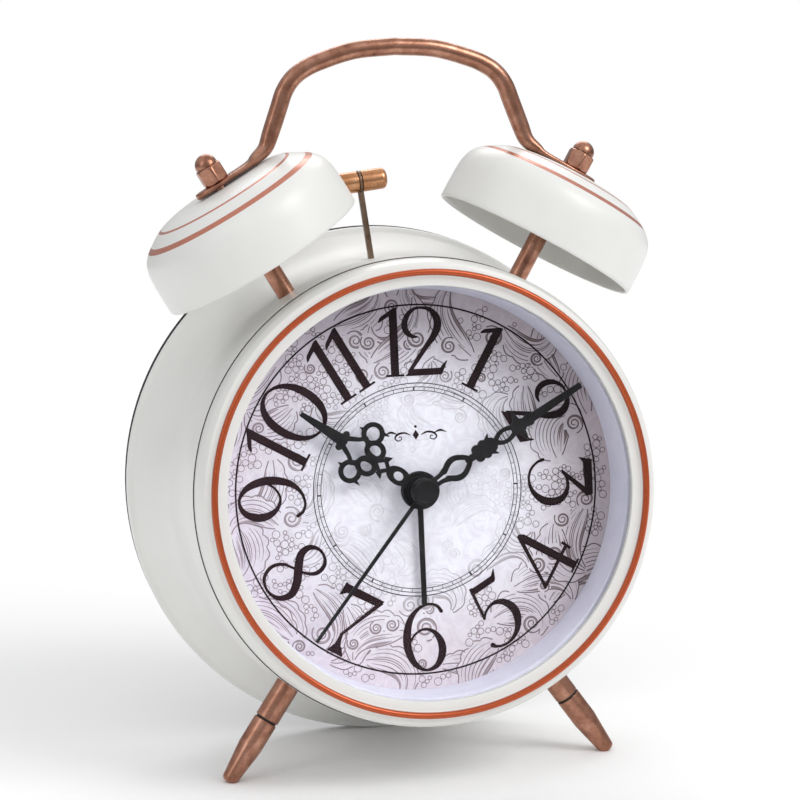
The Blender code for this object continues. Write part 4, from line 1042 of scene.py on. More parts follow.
def numeral(hour):
    one = figure_one
    shapes = {
        1: one, 2: figure_two, 3: figure_three, 4: figure_four, 5: figure_five, 6: figure_six,
        7: figure_seven, 8: figure_eight, 9: figure_nine,
        10: lambda: joined(moved(one(), -0.40), moved(figure_zero(), 0.17)),
        11: lambda: joined(moved(one(), -0.16), moved(one(), 0.17)),
        12: lambda: joined(moved(one(), -0.27), moved(figure_two(), 0.17)),
    }  # fmt: skip
    return shapes[hour]()


def build_numerals():
    """Numerals that read from outside at the top of the dial, and from inside at the bottom."""
    low, high = -(DIAL_DEPTH - 0.02), -(DIAL_DEPTH - 0.07)
    bm = bmesh.new()
    for hour in range(1, 13):
        upside_down = 4 <= hour <= 8
        shape = grown(moved(numeral(hour), scale=NUMERAL_HEIGHT), 0.11)
        outlines = traced(shape, (-10.5, -1), (10.5, NUMERAL_HEIGHT + 1.4), 0.12)
        turn = math.radians(-30 * hour)
        cos, sin = math.cos(turn), math.sin(turn)
        middle = NUMERAL_BASE + NUMERAL_HEIGHT / 2
        placed = []
        for outline in outlines:
            loop = []
            for x, y in outline:
                y -= NUMERAL_HEIGHT / 2
                x, y = (-x, -y) if upside_down else (x, y)
                y += middle
                loop.append((x * cos - y * sin, x * sin + y * cos))
            placed.append(loop)
        prism(bm, placed, low, high)
    piece("dial_numerals", bm, NUMERAL_INK, node="dial", stands_for=False)


def build_chapter_ring():
    low, high = -(DIAL_DEPTH - 0.02), -(DIAL_DEPTH - 0.05)
    bm = bmesh.new()
    for radius, width in ((42.35, 0.40), (24.44, 0.20), (23.56, 0.15), (22.72, 0.15)):
        prism(bm, [circle(radius + width / 2, 180), circle(radius - width / 2, 180)], low, high)
    for minute in range(60):
        half = 0.16 if minute % 5 == 0 else 0.06
        turn = Matrix.Rotation(math.radians(6 * minute), 3, "Z")
        bar = [turn @ Vector((x, y, 0)) for x, y in rectangle((-half, 22.72), (half, 23.56))]
        prism(bm, [[(point.x, point.y) for point in bar]], low, high)
    piece("dial_chapter_ring", bm, FINE_INK, node="dial", stands_for=False)


def build_emblem():
    """A small generic ornament over the middle: a lozenge between two scrolls."""
    curl = stroke([
        (1.3, 0.0, 0.10), (2.6, 0.55, 0.20), (4.1, 0.35, 0.24), (4.9, -0.5, 0.17), (4.3, -1.2, 0.13),
        (3.4, -0.9, 0.11), (3.5, -0.3, 0.10), (3.9, -0.35, 0.13),
    ])  # fmt: skip
    leaf = stroke([(4.6, 0.4, 0.12), (5.8, 0.8, 0.24), (7.3, 0.3, 0.05)])
    lozenge = plate([(0, -1.15), (0.75, 0), (0, 1.15), (-0.75, 0)])
    shape = joined(lozenge, curl, leaf, mirrored(curl), mirrored(leaf), ellipse((0, 1.9), 0.32, 0.32))
    bm = bmesh.new()
    centre = (0.0, 12.6)
    outlines = traced(shape, (-8, -2), (8, 2.6), 0.08)
    placed = [[(x + centre[0], y + centre[1]) for x, y in loop] for loop in outlines]
    prism(bm, placed, -(DIAL_DEPTH - 0.02), -(DIAL_DEPTH - 0.06))
    piece("dial_emblem", bm, NUMERAL_INK, node="dial", stands_for=False)


def plume(rng, base, heading, length, curl, width):
    """A curling leaf: its spine, the half width at each point, and its drawn lines."""
    count = 34
    spine, normals, widths = [], [], []
    at = np.array(base, float)
    for step in range(count):
        part = step / (count - 1)
        turn = heading + curl * part**1.7
        spine.append(at.copy())
        normals.append((-math.sin(turn), math.cos(turn)))
        widths.append(width * math.sin(math.pi * (0.04 + 0.93 * part) ** 0.75) ** 0.8)
        at += np.array((math.cos(turn), math.sin(turn))) * length / count
    spine, normals, widths = np.array(spine), np.array(normals), np.array(widths)
    bend = -1 if curl > 0 else 1
    lines = []
    fronds = 1 + 0.22 * np.abs(np.sin(6.5 * math.pi * np.linspace(0, 1, count)))
    for share, line in ((1.0, 0.14), (-1.0, 0.14), (0.0, 0.11)):
        edge = share * widths * (fronds if share == bend else 1)
        lines.append((spine + normals * edge[:, None], np.full(count, line), 0))
    for share in np.linspace(-0.82, 0.82, max(4, int(width * 2.2))):
        start, end = rng.randint(1, 7), rng.randint(count - 13, count - 2)
        rows = spine[start:end] + normals[start:end] * (share * widths[start:end])[:, None]
        taper = 0.085 * np.sin(np.linspace(0.25, math.pi, end - start)) + 0.015
        lines.append((rows, taper, 0))
    for share, band in ((-0.86 * bend, 0.20), (-0.5 * bend, 0.10)):
        start, end = rng.randint(3, 8), rng.randint(count - 9, count - 3)
        rows = spine[start:end] + normals[start:end] * (share * widths[start:end])[:, None]
        taper = band * width * 0.5 * np.sin(np.linspace(0.1, math.pi - 0.1, end - start)) + 0.02
        lines.append((rows, taper, 1))
    return {"spine": spine, "widths": widths, "lines": lines}


def scroll(centre, radius, start, sense):
    """A volute: a band that winds in to a small eye."""
    count = 46
    turns = np.linspace(0, 2.1 * 2 * math.pi, count)
    reach = radius * (1 - 0.86 * (turns / turns[-1]) ** 0.8)
    angle = start + sense * turns
    rows = np.array(centre) + np.stack([reach * np.cos(angle), reach * np.sin(angle)], axis=1)
    inner = np.array(centre) + np.stack([0.80 * reach * np.cos(angle), 0.80 * reach * np.sin(angle)], axis=1)
    lines = [(rows, np.linspace(0.15, 0.09, count), 0), (inner[4:], np.linspace(0.08, 0.05, count - 4), 0)]
    half_turn = slice(3, 22)
    shade = (rows[half_turn] + inner[half_turn]) / 2
    lines.append((shade, 0.07 * radius * np.sin(np.linspace(0.1, math.pi - 0.1, len(shade))) + 0.02, 1))
    return {"spine": np.array([centre]), "widths": np.array([radius]), "lines": lines}


def bubble(centre, radius):
    turns = np.linspace(0, 2 * math.pi, 17)
    rows = np.array(centre) + radius * np.stack([np.cos(turns), np.sin(turns)], axis=1)
    lines = [(rows, np.full(len(turns), 0.085), 0)]
    return {"spine": np.array([centre]), "widths": np.array([radius * 0.98]), "lines": lines}


def covered(points, motif, margin=0.0):
    """Which points lie inside a motif."""
    gaps = np.hypot(*(points[:, None, :] - motif["spine"][None, :, :]).transpose(2, 0, 1))
    return (gaps < motif["widths"][None, :] + margin).any(axis=1)


# Rings of plumes: radius, how many, their length and their width.
PLUME_RINGS = ((42, 17, 19, 3.6), (33, 14, 18, 3.9), (23, 10, 15, 3.0), (12, 6, 11, 2.2))


def ornament_motifs():
    """The dial's engraved look: rings of curling plumes, volutes between them and bubbles in what is left."""
    rng = random.Random(11)
    motifs = []
    for ring_radius, count, length, width in PLUME_RINGS:
        offset = rng.uniform(0, 360)
        for i in range(count):
            turn = math.radians(offset + 360 * i / count + rng.uniform(-7, 7))
            radius = ring_radius + rng.uniform(-2.2, 2.2)
            sense = 1 if (i + ring_radius) % 3 else -1
            heading = turn + sense * math.radians(rng.uniform(60, 130)) + rng.uniform(-0.3, 0.3)
            curl = -sense * rng.uniform(1.6, 3.4)
            base = (radius * math.cos(turn), radius * math.sin(turn))
            reach = length * rng.uniform(0.75, 1.2)
            breadth = width * rng.uniform(0.7, 1.15)
            motifs.append(plume(rng, base, heading, reach, curl, breadth))
    for _ in range(46):
        turn, radius = rng.uniform(0, 2 * math.pi), 45 * math.sqrt(rng.uniform(0.03, 1))
        centre = (radius * math.cos(turn), radius * math.sin(turn))
        motifs.append(scroll(centre, rng.uniform(1.3, 2.9), rng.uniform(0, 6.3), rng.choice((-1, 1))))
    taken = list(motifs)
    bubbles = []
    for _ in range(2600):
        size = rng.choice((0.45, 0.6, 0.75, 0.9))
        turn = rng.uniform(0, 2 * math.pi)
        if bubbles and rng.random() < 0.85:
            beside = rng.choice(bubbles[-12:])
            reach = beside["widths"][0] + size + 0.12
            centre = beside["spine"] + reach * np.array([(math.cos(turn), math.sin(turn))])
        else:
            radius = 45.5 * math.sqrt(rng.uniform(0.25, 1))
            centre = np.array([(radius * math.cos(turn), radius * math.sin(turn))])
        if np.hypot(*centre[0]) > 45 or any(covered(centre, motif, size + 0.05)[0] for motif in taken):
            continue
        found = bubble(tuple(centre[0]), size)
        taken.append(found)
        bubbles.append(found)
    return motifs + bubbles


def build_ornament():
    """Ribbons of ink, cut where a later motif lies over them."""
    layers = [bmesh.new(), bmesh.new()]
    heights = [-(DIAL_DEPTH - 0.022), -(DIAL_DEPTH - 0.012)]
    motifs = ornament_motifs()
    for index, motif in enumerate(motifs):
        for rows, half_widths, layer in motif["lines"]:
            hidden = np.hypot(rows[:, 0], rows[:, 1]) > DIAL_R - 1.6
            low, high = rows.min(axis=0), rows.max(axis=0)
            for later in motifs[index + 1 :]:
                reach = later["widths"].max()
                spine = later["spine"]
                if (spine.min(axis=0) - reach < high).all() and (spine.max(axis=0) + reach > low).all():
                    hidden |= covered(rows, later)
            draw_ribbon(layers[layer], rows, half_widths, hidden, heights[layer])
    piece("dial_ornament_lines", layers[0], LINE_INK, node="dial", stands_for=False)
    piece("dial_ornament_bands", layers[1], BAND_INK, node="dial", stands_for=False)


def draw_ribbon(bm, rows, half_widths, hidden, height):
    """A flat ribbon along rows of points, left out where they are hidden."""
    ahead = np.gradient(rows, axis=0)
    ahead /= np.hypot(ahead[:, 0], ahead[:, 1])[:, None] + 1e-9
    side = np.stack([-ahead[:, 1], ahead[:, 0]], axis=1) * half_widths[:, None]
    previous = None
    for (lx, ly), (rx, ry), gone in zip(rows + side, rows - side, hidden):
        if gone:
            previous = None
            continue
        pair = (bm.verts.new((lx, ly, height)), bm.verts.new((rx, ry, height)))
        if previous:
            bm.faces.new((previous[0], previous[1], pair[1], pair[0]))
        previous = pair


def build_dial():
    bm = bmesh.new()
    prism(bm, [circle(DIAL_R, 160), circle(3.7, 48)], -(DIAL_DEPTH + 0.6), -DIAL_DEPTH)
    piece("dial", bm, PAPER)
    build_ornament()
    build_chapter_ring()
    build_numerals()
    build_emblem()


# ---------------------------------------------------------------- hands


def hand_turn(minutes_of_dial):
    return FACE @ Matrix.Rotation(-2 * math.pi * minutes_of_dial / 60, 4, "Z")


def both(*shapes):
    """Shapes drawn on the hand's right, and their mirror images on its left."""
    return joined(*[joined(shape, mirrored(shape)) for shape in shapes])


def loop_shape(centre, half_x, half_y, width):
    """An oval ring."""
    stations = []
    for step in range(16):
        turn = 2 * math.pi * step / 16
        stations.append((centre[0] + half_x * math.cos(turn), centre[1] + half_y * math.sin(turn), width))
    return stroke(stations, per=3, closed=True)


def hour_hand_shape():
    """Openwork: a small loop, a pierced lozenge, two pairs of loops and a spear."""
    hub = ellipse((0, 0), 4.25, 4.25)
    small = without(ellipse((0, 6.3), 1.95, 3.0), ellipse((0, 6.3), 1.05, 1.35))
    neck = plate([(-0.5, 8.2), (0.5, 8.2), (0.5, 9.6), (-0.5, 9.6)])
    lozenge = without(
        joined(plate([(0, 8.6), (2.1, 10.7), (0, 13.2), (-2.1, 10.7)]), ellipse((0, 12.6), 1.2, 1.3)),
        plate([(0, 9.6), (1.05, 10.8), (0, 12.1), (-1.05, 10.8)]),
    )
    thorn = plate([(1.2, 10.2), (2.7, 9.7), (2.0, 11.4)])
    inner = loop_shape((2.0, 14.0), 1.75, 2.0, 0.50)
    outer = loop_shape((5.0, 16.5), 2.15, 2.15, 0.48)
    tick_up = plate([(4.1, 18.3), (5.3, 18.4), (4.7, 19.9)])
    tick_down = plate([(5.6, 14.9), (6.5, 13.0), (6.7, 15.2)])
    arm = stroke([(3.3, 17.4, 0.42), (2.2, 18.6, 0.40), (0.9, 21.2, 0.55)])
    centre_bar = stroke([
        (0.6, 12.2, 0.5), (0.7, 14.2, 0.38), (1.2, 15.6, 0.42), (2.4, 16.3, 0.45), (3.2, 17.2, 0.45),
    ])  # fmt: skip
    knob = joined(ellipse((1.6, 21.7), 0.75, 0.7), ellipse((0, 21.9), 1.5, 1.3))
    spear = plate([(-1.25, 22.3), (1.25, 22.3), (1.05, 25.2), (0.45, 33.1), (-0.45, 33.1), (-1.05, 25.2)])
    bulge = ellipse((0, 25.4), 1.05, 1.5)
    sides = both(thorn, inner, outer, tick_up, tick_down, arm, centre_bar, knob)
    return joined(hub, small, neck, lozenge, sides, spear, bulge)


def minute_hand_shape():
    """Openwork: a leaf-shaped loop, a scalloped bead, a second loop with thorns and a straight blade."""
    hub = ellipse((0, 0), 3.4, 3.4)
    slip = stroke([(0.75, 2.5, 0.42), (0.72, 5.0, 0.40), (1.2, 6.9, 0.55)])
    leaf = stroke([(0.9, 6.6, 0.55), (2.1, 8.6, 0.62), (2.15, 10.4, 0.55), (1.0, 12.4, 0.50), (0, 13.2, 0.5)])
    neck = stroke([(0, 12.8, 0.7), (0, 14.6, 0.75)])
    bead = joined(
        ellipse((1.0, 15.6), 1.0, 1.1), ellipse((1.15, 17.4), 1.05, 1.0), ellipse((0.75, 19.3), 0.9, 1.0)
    )
    spine = plate([(-1.1, 14.6), (1.1, 14.6), (1.2, 18.5), (0.8, 21.0), (-0.8, 21.0), (-1.2, 18.5)])
    wing = plate([(1.0, 16.9), (2.6, 19.7), (1.0, 19.0)])
    loop = stroke([
        (0.3, 20.6, 0.5), (1.15, 22.0, 0.40), (1.3, 23.6, 0.40), (0.8, 25.2, 0.5), (0.3, 26.0, 0.6),
    ])  # fmt: skip
    body = joined(ellipse((0, 26.9), 1.7, 1.9), plate([(-0.9, 26.5), (0.9, 26.5), (1.2, 29.6), (-1.2, 29.6)]))
    thorn = plate([(0.9, 25.9), (3.9, 27.3), (1.2, 27.9)])
    collar = ellipse((0, 30.0), 1.35, 0.9)
    blade = plate([(-1.0, 29.6), (1.0, 29.6), (0.62, 44.4), (-0.62, 44.4)])
    return joined(hub, both(slip, leaf, bead, wing, loop, thorn), neck, spine, body, collar, blade)


def build_hands():
    pointer = plate([(-0.55, 3), (0.55, 3), (0.50, 26.5), (-0.50, 26.5)])
    hands = (
        ("alarm_hand", 30, 14.0, joined(ellipse((0, 0), 4.3, 4.3), pointer), 3.4),
        ("hour_hand", (10 + 10 / 60) * 5, 12.6, hour_hand_shape(), 2.45),
        ("minute_hand", 10, 11.2, minute_hand_shape(), 1.6),
    )
    for name, minutes, depth, shape, bore in hands:
        bm = bmesh.new()
        pierced = without(grown(shape, 0.08), ellipse((0, 0), bore, bore))
        prism(bm, traced(pierced, (-8, -5), (8, 45.5), 0.09), -(depth + BLADE), -depth)
        piece(name, bm, HAND_PAINT, hand_turn(minutes))

    depth = 9.9
    bm = bmesh.new()
    stick = joined(ellipse((0, 0), 2.4, 2.4), plate([(-0.45, 0), (0.45, 0), (0.36, 42), (-0.36, 42)]))
    prism(bm, traced(stick, (-4, -4), (4, 43), 0.1), -(depth + BLADE), -depth)
    button = [(0, 0.5), (3.1, 0.5), (3.15, -2.0, 0.35), (2.55, -2.0, 0.12), (2.35, -1.85, 0.1), (0, -1.95)]
    lathe(bm, rounded([(radius, -height - depth, *more) for radius, height, *more in button]), 64)
    piece("second_hand", bm, HAND_PAINT, hand_turn(36.5))


# ---------------------------------------------------------------- back

MOTION_AXIS = on_circle(12.0, 30)
ALARM_AXIS = on_circle(15.0, 150)
SCREWS = [on_circle(48.1, degrees) for degrees in (30, 150, 270)]
SWITCH_AT = (-18.0, 34.0)
BUTTON_AT = (18.0, 34.0)
TRAY_LOW, TRAY_HIGH = (-27.8, -40.4), (27.8, -9.3)


def build_back_cover():
    bm = bmesh.new()
    holes = [circle(2.1, 32, MOTION_AXIS), circle(2.1, 32, ALARM_AXIS), circle(3.6, 40, BUTTON_AT)]
    holes += [circle(1.6, 24, screw) for screw in SCREWS]
    x, z = SWITCH_AT
    holes.append(rectangle((x - 4.5, z - 1.6), (x + 4.5, z + 1.6), 0.5))
    walls = [wall(bm, outline, -COVER_BACK, -COVER_FRONT) for outline in holes]
    edge = wall(bm, circle(COVER_R + COVER_SPARE, 160, (0, COVER_LIFT)), -COVER_BACK, -COVER_FRONT)
    low, high = (TRAY_LOW[0] - 1, TRAY_LOW[1] - 1), (TRAY_HIGH[0] + 1, TRAY_HIGH[1] + 1)
    box = wall(bm, rectangle(low, high), -COVER_FRONT, -41.4)
    pocket = wall(bm, rectangle(TRAY_LOW, TRAY_HIGH), -COVER_BACK, -42.4)
    cap(bm, box[1])
    cap(bm, pocket[1])
    cap(bm, edge[1], box[0], *[ends[1] for ends in walls])
    cap(bm, edge[0], pocket[0], *[ends[0] for ends in walls])
    piece("back_cover", bm, BLACK_PLASTIC, bevel=0.25)
    build_cover_mouldings()


def build_cover_mouldings():
    """Raised ribs and marks on the cover: a rim, collars round the knobs, arrows and the sound slots."""
    bm = bmesh.new()
    for radius, at in ((7.6, MOTION_AXIS), (7.6, ALARM_AXIS), (5.4, BUTTON_AT)):
        ring = [(radius, 0.0), (radius, 0.45, 0.2), (radius - 0.7, 0.45, 0.2), (radius - 0.7, 0.0)]
        add_ring(bm, ring, at)
    add_ring(bm, [(56.6, 0.0), (56.6, 0.5, 0.2), (55.6, 0.5, 0.2), (55.6, 0.0)], (0, 0))
    for screw in SCREWS:
        add_ring(bm, [(4.2, 0.0), (4.2, 0.4, 0.15), (3.6, 0.4, 0.15), (3.6, 0.0)], screw)
    for step in range(-4, 5):
        half = math.sqrt(max(0.0, 6.5**2 - (1.35 * step) ** 2))
        low, high = (33.6 + 1.35 * step - 0.3, -half), (33.6 + 1.35 * step + 0.3, half)
        prism(bm, [rectangle(low, high, 0.25)], -(COVER_BACK + 0.35), -(COVER_BACK - 0.05))
    piece("back_cover_ribs", bm, BLACK_PLASTIC, node="back_cover", stands_for=False)

    bm = bmesh.new()
    for centre in (MOTION_AXIS, ALARM_AXIS):
        add_mark(bm, turning_arrow(), centre, 12, 0.12)
    add_mark(bm, bell_mark(), (SWITCH_AT[0], SWITCH_AT[1] + 6.0), 4, 0.08)
    add_mark(bm, lamp_mark(), (BUTTON_AT[0], BUTTON_AT[1] + 9.5), 4, 0.08)
    piece("back_cover_marks", bm, MARK_PAINT, node="back_cover", stands_for=False)


def add_mark(bm, shape, centre, reach, pitch):
    """A thin printed shape on the cover's outside, traced as far as reach round its centre."""
    x, z = centre
    outlines = traced(moved(shape, x, z), (x - reach, z - reach), (x + reach, z + reach), pitch)
    prism(bm, outlines, -(COVER_BACK + MARK_DEPTH), -(COVER_BACK - 0.03))


def add_ring(bm, profile, at):
    """A raised ring on the cover, its foot sunk in, from (radius, height above the cover) points."""
    placed = []
    for radius, height, *more in profile:
        sunk = 0.05 if height == 0 else 0
        placed.append((radius, sunk - (COVER_BACK + height), *more))
    ring = bmesh.new()
    lathe(ring, rounded(placed), 96)
    bmesh.ops.translate(ring, verts=ring.verts, vec=(at[0], at[1], 0))
    add_shape(bm, ring)


def turning_arrow():
    stations = []
    for step in range(13):
        turn = math.radians(35 + 110 * step / 12)
        stations.append((9.6 * math.cos(turn), 9.6 * math.sin(turn), 0.28))
    end = math.radians(35)
    tip, out = (9.6 * math.cos(end), 9.6 * math.sin(end)), (math.cos(end), math.sin(end))
    ahead = (math.sin(end), -math.cos(end))
    head = [
        (tip[0] - out[0] * 1.1, tip[1] - out[1] * 1.1),
        (tip[0] + ahead[0] * 1.9, tip[1] + ahead[1] * 1.9),
        (tip[0] + out[0] * 1.1, tip[1] + out[1] * 1.1),
    ]
    return joined(stroke(stations, smooth=False), plate(head))


def bell_mark():
    """A small bell."""
    body = plate([(-1.3, -1.0), (1.3, -1.0), (0.8, 0.4), (-0.8, 0.4)])
    return joined(body, ellipse((0, 0.4), 0.8, 0.9), ellipse((0, -1.3), 0.45, 0.4))


def lamp_mark():
    """A small lamp with rays."""
    rays = []
    for step in range(5):
        turn = math.radians(45 * step)
        x, y = math.cos(turn), math.sin(turn)
        rays.append(stroke([(1.7 * x, 0.3 + 1.7 * y, 0.16), (2.4 * x, 0.3 + 2.4 * y, 0.16)], smooth=False))
    foot = plate([(-0.55, -1.5), (0.55, -1.5), (0.55, -0.5), (-0.55, -0.5)])
    return joined(ellipse((0, 0.3), 1.1, 1.1), foot, *rays)


def build_battery_door():
    bm = bmesh.new()
    low, high = (TRAY_LOW[0] + 0.3, TRAY_LOW[1] + 0.3), (TRAY_HIGH[0] - 0.3, TRAY_HIGH[1] - 0.3)
    prism(bm, [rectangle(low, high, 1.0)], -COVER_BACK, -60.4)
    for step in range(6):
        z = -38.6 + 0.9 * step
        half = 7.0 - 0.5 * abs(step - 2.5)
        prism(bm, [rectangle((-half, z), (half, z + 0.45), 0.2)], -(COVER_BACK + 0.45), -(COVER_BACK - 0.05))
    shape = plate([(-1.6, -33.2), (0, -35.0), (1.6, -33.2)])
    prism(bm, traced(shape, (-3, -36), (3, -32), 0.1), -(COVER_BACK + 0.25), -(COVER_BACK - 0.05))
    piece("battery_door", bm, BLACK_PLASTIC, bevel=0.12)


def build_knob(name, at):
    ridges = 30

    def swell(turn, radius, height):
        return radius if radius < 4.9 else radius - 0.28 * (0.5 + 0.5 * math.cos(ridges * turn)) ** 2

    front, back = -(COVER_BACK + 0.7), -69.0
    profile = [(0, -34.4), (1.5, -34.4), (1.5, front), (5.0, front, 0.3), (5.4, front - 0.5)]
    profile += [(5.4, front - 1.0), (5.4, back + 1.1), (5.35, back + 0.6), (5.05, back + 0.15)]
    profile += [(4.6, back), (4.0, back, 0.3), (3.6, back + 0.7, 0.3), (0, back + 0.8)]
    bm = bmesh.new()
    lathe(bm, rounded(profile, 3), ridges * 8, swell=swell)
    piece(name, bm, KNOB_PLASTIC, face_at(at), angle=30)


def build_screw(number, at):
    profile = [
        (0, COVER_BACK + 1.5), (1.5, COVER_BACK + 1.45), (2.3, COVER_BACK + 1.0, 0.5),
        (2.5, COVER_BACK + 0.02), (1.1, COVER_BACK), (1.1, CASE_BACK - 8), (0, CASE_BACK - 8),
    ]  # fmt: skip
    made = turned(f"cover_screw_{number}", rounded(by_depth(profile)), STEEL, face_at(at), sides=48)
    cross = bmesh.new()
    shape = joined(plate(rectangle((-1.5, -0.28), (1.5, 0.28))), plate(rectangle((-0.28, -1.5), (0.28, 1.5))))
    outlines = traced(moved(shape, turn=0.5 + number), (-2, -2), (2, 2), 0.08)
    prism(cross, outlines, -(COVER_BACK + 2), -(COVER_BACK + 0.6))
    cut(made, cross, face_at(at))


def build_light_button():
    top = -(COVER_BACK + 2.0)
    profile = [(0, top + 0.25), (2.3, top, 0.6), (3.2, top + 0.3, 0.5), (3.2, -60.8)]
    profile += [(4.6, -60.8, 0.2), (4.6, -59.6), (0, -59.6)]
    turned("light_button", rounded(profile), KNOB_PLASTIC, face_at(BUTTON_AT), sides=64)

    wire, coil, turns, front, length = 0.22, 2.4, 4, 54.1, 5.0
    path = []
    for i in range(32 * turns + 1):
        turn = 2 * math.pi * i / 32
        height = length * i / (32 * turns) - front - length
        path.append(Vector((coil * math.cos(turn), coil * math.sin(turn), height)))
    bm = bmesh.new()
    sweep(bm, path, [(wire, wire)] * len(path), sides=10, across=Vector((0, 0, 1)))
    spring = piece("light_button_spring", bm, STEEL, face_at(BUTTON_AT), angle=60)
    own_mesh(spring)


def build_alarm_switch():
    x, z = SWITCH_AT
    bm = bmesh.new()
    prism(bm, [rectangle((-3.4, -2.6), (3.4, 2.6))], -60.8, -59.8)
    prism(bm, [rectangle((-1.9, -1.2), (1.9, 1.2), 0.2)], -(COVER_BACK + 0.9), -60.7)
    for step in (-1.2, 0.0, 1.2):
        ridge = rectangle((step - 0.3, -1.1), (step + 0.3, 1.1), 0.1)
        prism(bm, [ridge], -(COVER_BACK + 1.4), -(COVER_BACK + 0.8))
    piece("alarm_switch", bm, KNOB_PLASTIC, face_at((x - 2.0, z)), bevel=0.08)


def build_batteries():
    """Cells with a dark sleeve, a copper-coloured band at the positive end and bare ends."""
    for name, height, way in (("upper_battery", -17.0, 1), ("lower_battery", -32.7, -1)):
        half, radius = 24.6, 7.1
        corners = [
            (0, -half), (5.9, -half, 0.3), (6.6, -half + 0.35, 0.3), (radius, -half + 0.5, 0.3),
            (radius, half - 13), (radius, half - 0.4, 0.4), (6.2, half - 0.1, 0.2), (2.9, half - 0.1, 0.3),
            (2.6, half + 1.2, 0.4), (0, half + 1.2),
        ]  # fmt: skip
        profile = rounded(corners, 4)
        paints = []
        for (r0, h0), (r1, h1) in zip(profile, profile[1:]):
            bare = min(r0, r1) < 6.3
            paints.append(2 if bare else int((h0 + h1) / 2 > half - 13))
        bm = bmesh.new()
        lathe(bm, profile, 72, paints=paints)
        at = Matrix.Translation((way * 1.2, 50.4, height)) @ Matrix.Rotation(way * math.pi / 2, 4, "Y")
        piece(name, bm, [SLEEVE, SLEEVE_BAND, STEEL], at)

        start, end = half - 1.2 + 0.75, 27.8 - 0.75
        path = []
        for i in range(121):
            part = i / 120
            turn = 2 * math.pi * 2.5 * part
            reach = 2.2 + 2.0 * part
            along = -way * (start + (end - start) * part)
            path.append(Vector((along, 50.4 + reach * math.cos(turn), height + reach * math.sin(turn))))
        bm = bmesh.new()
        sweep(bm, path, [(0.3, 0.3)] * len(path), sides=10, across=Vector((1, 0, 0)))
        piece(f"{name}_spring", bm, STEEL, Matrix.Identity(4), angle=60)


def finish_inner_pieces():
    """The pieces inside keep their CAD shape and get finished materials."""
    paints = {
        STEEL: ["left_post_nut", "right_post_nut", "left_leg_nut", "right_leg_nut", "hammer_pivot_pin",
                "motor_bracket", "stator", "rotor", "hammer_motor"],
        BRASS: ["cannon_pinion", "centre_wheel"],
        ACETAL: ["second_wheel", "third_wheel", "relay_wheel", "motion_wheel", "hour_wheel", "alarm_wheel",
                 "alarm_set_pinion", "motor_crank"],
        WHITE_PLASTIC: ["movement_housing", "movement_cover"],
        BLACK_PLASTIC: ["chassis"],
        COIL_WIRE: ["coil"],
        SOLDER_MASK: ["circuit_board"],
        LAMP: ["backlight_lamp"],
    }  # fmt: skip
    for paint, names in paints.items():
        for name in names:
            NODES[name].data.materials.clear()
            NODES[name].data.materials.append(paint)


# ---------------------------------------------------------------- studio

CAMERA_AZIMUTH = math.radians(13.349)
CAMERA_RISE = math.radians(2.961)
CAMERA_ROLL = math.radians(2.460)
CAMERA_DISTANCE = 641.1
CAMERA_AIM = (-6.862, 21.559)
CAMERA_LENS = 128.4
FLOOR_R = 0.75  # metres


def build_camera():
    """Camera placed round the dial's middle, in the leaning clock's frame."""
    level = math.cos(CAMERA_RISE)
    back = Vector(
        (-math.sin(CAMERA_AZIMUTH) * level, -math.cos(CAMERA_AZIMUTH) * level, math.sin(CAMERA_RISE))
    )
    right = Vector((math.cos(CAMERA_AZIMUTH), -math.sin(CAMERA_AZIMUTH), 0))
    up = back.cross(right)
    aim = right * CAMERA_AIM[0] + up * CAMERA_AIM[1]
    cos, sin = math.cos(CAMERA_ROLL), math.sin(CAMERA_ROLL)
    axes = Matrix((right * cos - up * sin, right * sin + up * cos, back)).transposed()
    turn = CLOCK.to_3x3().normalized() @ axes
    camera = add_object("camera", bpy.data.cameras.new("camera"))
    camera.data.lens = CAMERA_LENS
    camera.data.sensor_width = 36
    camera.matrix_world = Matrix.Translation(CLOCK @ (aim + back * CAMERA_DISTANCE)) @ turn.to_4x4()
    bpy.context.scene.camera = camera


def build_light(name, at, size, watts, colour=(1, 1, 1), aim=(0, 0, 0.08)):
    light = bpy.data.lights.new(name, "AREA")
    light.shape = "RECTANGLE"
    light.size, light.size_y = size
    light.energy = watts
    light.color = colour
    made = add_object(name, light)
    made.location = at
    made.rotation_euler = (Vector(aim) - Vector(at)).to_track_quat("-Z", "Y").to_euler()


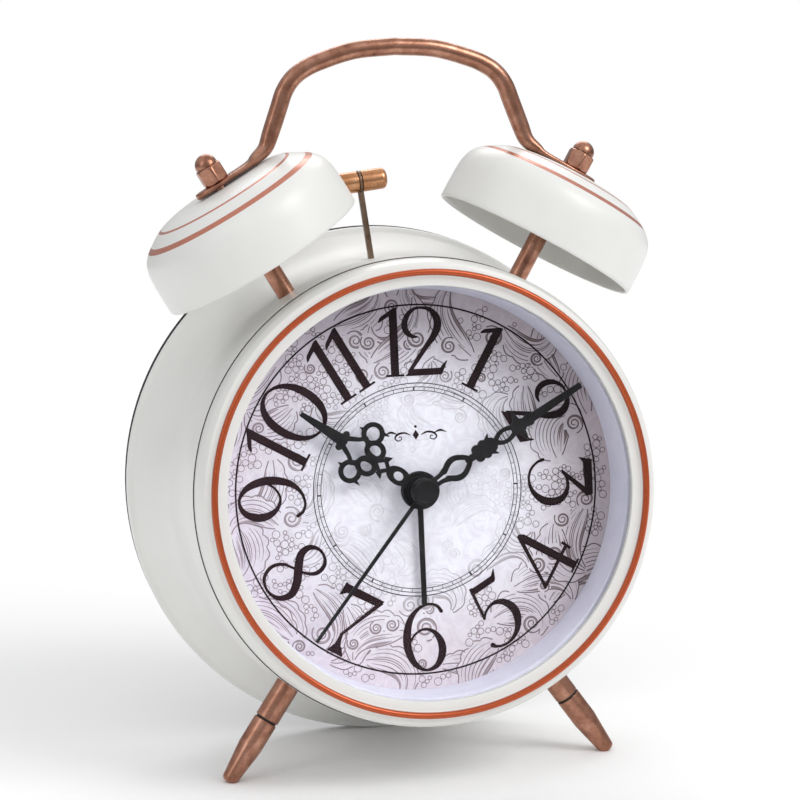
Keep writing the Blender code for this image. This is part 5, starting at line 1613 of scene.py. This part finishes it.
def build_studio():
    bm = bmesh.new()
    bmesh.ops.create_circle(bm, cap_ends=True, segments=96, radius=FLOOR_R)
    mesh = bpy.data.meshes.new("floor")
    bm.to_mesh(mesh)
    bm.free()
    floor = add_object("floor", mesh)
    paint = Finish("floor_paint", Roughness=0.9, Specular_IOR_Level=0.2)
    cloudy = paint.ramp(paint.noise(0.002), (0.3, (0.93, 0.93, 0.93)), (0.7, (0.94, 0.94, 0.94)))
    paint.link("Base Color", cloudy)
    mesh.materials.append(paint.made)

    world = bpy.data.worlds.new("studio")
    world.use_nodes = True
    tree = world.node_tree
    background = tree.nodes["Background"]
    direction = add_node(tree, "TexCoord").outputs["Generated"]
    height = add_node(tree, "SeparateXYZ", {"Vector": direction}).outputs["Z"]
    shade = add_node(tree, "ValToRGB", {"Fac": height})
    marks = shade.color_ramp.elements
    marks[0].position, marks[0].color = 0.0, (0.30, 0.30, 0.31, 1)
    marks[1].position, marks[1].color = 0.8, (0.85, 0.85, 0.86, 1)
    backdrop = add_node(tree, "LightPath").outputs["Is Camera Ray"]
    seen = add_node(tree, "Mix", {"Factor": backdrop}, data_type="RGBA")
    tree.links.new(shade.outputs["Color"], seen.inputs[6])
    seen.inputs[7].default_value = (1, 1, 1, 1)
    tree.links.new(seen.outputs[2], background.inputs["Color"])
    background.inputs["Strength"].default_value = 1.0
    bpy.context.scene.world = world

    build_light("key", (0.70, -0.75, 0.95), (0.6, 0.6), 7.0)
    build_light("fill", (-0.95, -0.55, 0.55), (0.4, 0.9), 1.3)
    build_light("rim", (0.2, 0.9, 0.8), (0.9, 0.3), 3.0)
    bpy.context.scene.view_settings.view_transform = "Standard"


# ---------------------------------------------------------------- assembly

build_camera()
build_studio()
build_case()
build_bezel()
build_copper_ring()
build_front_glass_and_ring()
build_dial()
build_hands()
for bell_side in (-1, 1):
    build_bell(bell_side)
    build_post(bell_side)
    build_acorn_nut(bell_side)
    build_leg(bell_side)
build_handle()
build_hammer()
build_back_cover()
build_battery_door()
build_knob("time_set_knob", MOTION_AXIS)
build_knob("alarm_set_knob", ALARM_AXIS)
for screw_number, screw_at in enumerate(SCREWS, 1):
    build_screw(screw_number, screw_at)
build_light_button()
build_alarm_switch()
build_batteries()
finish_inner_pieces()
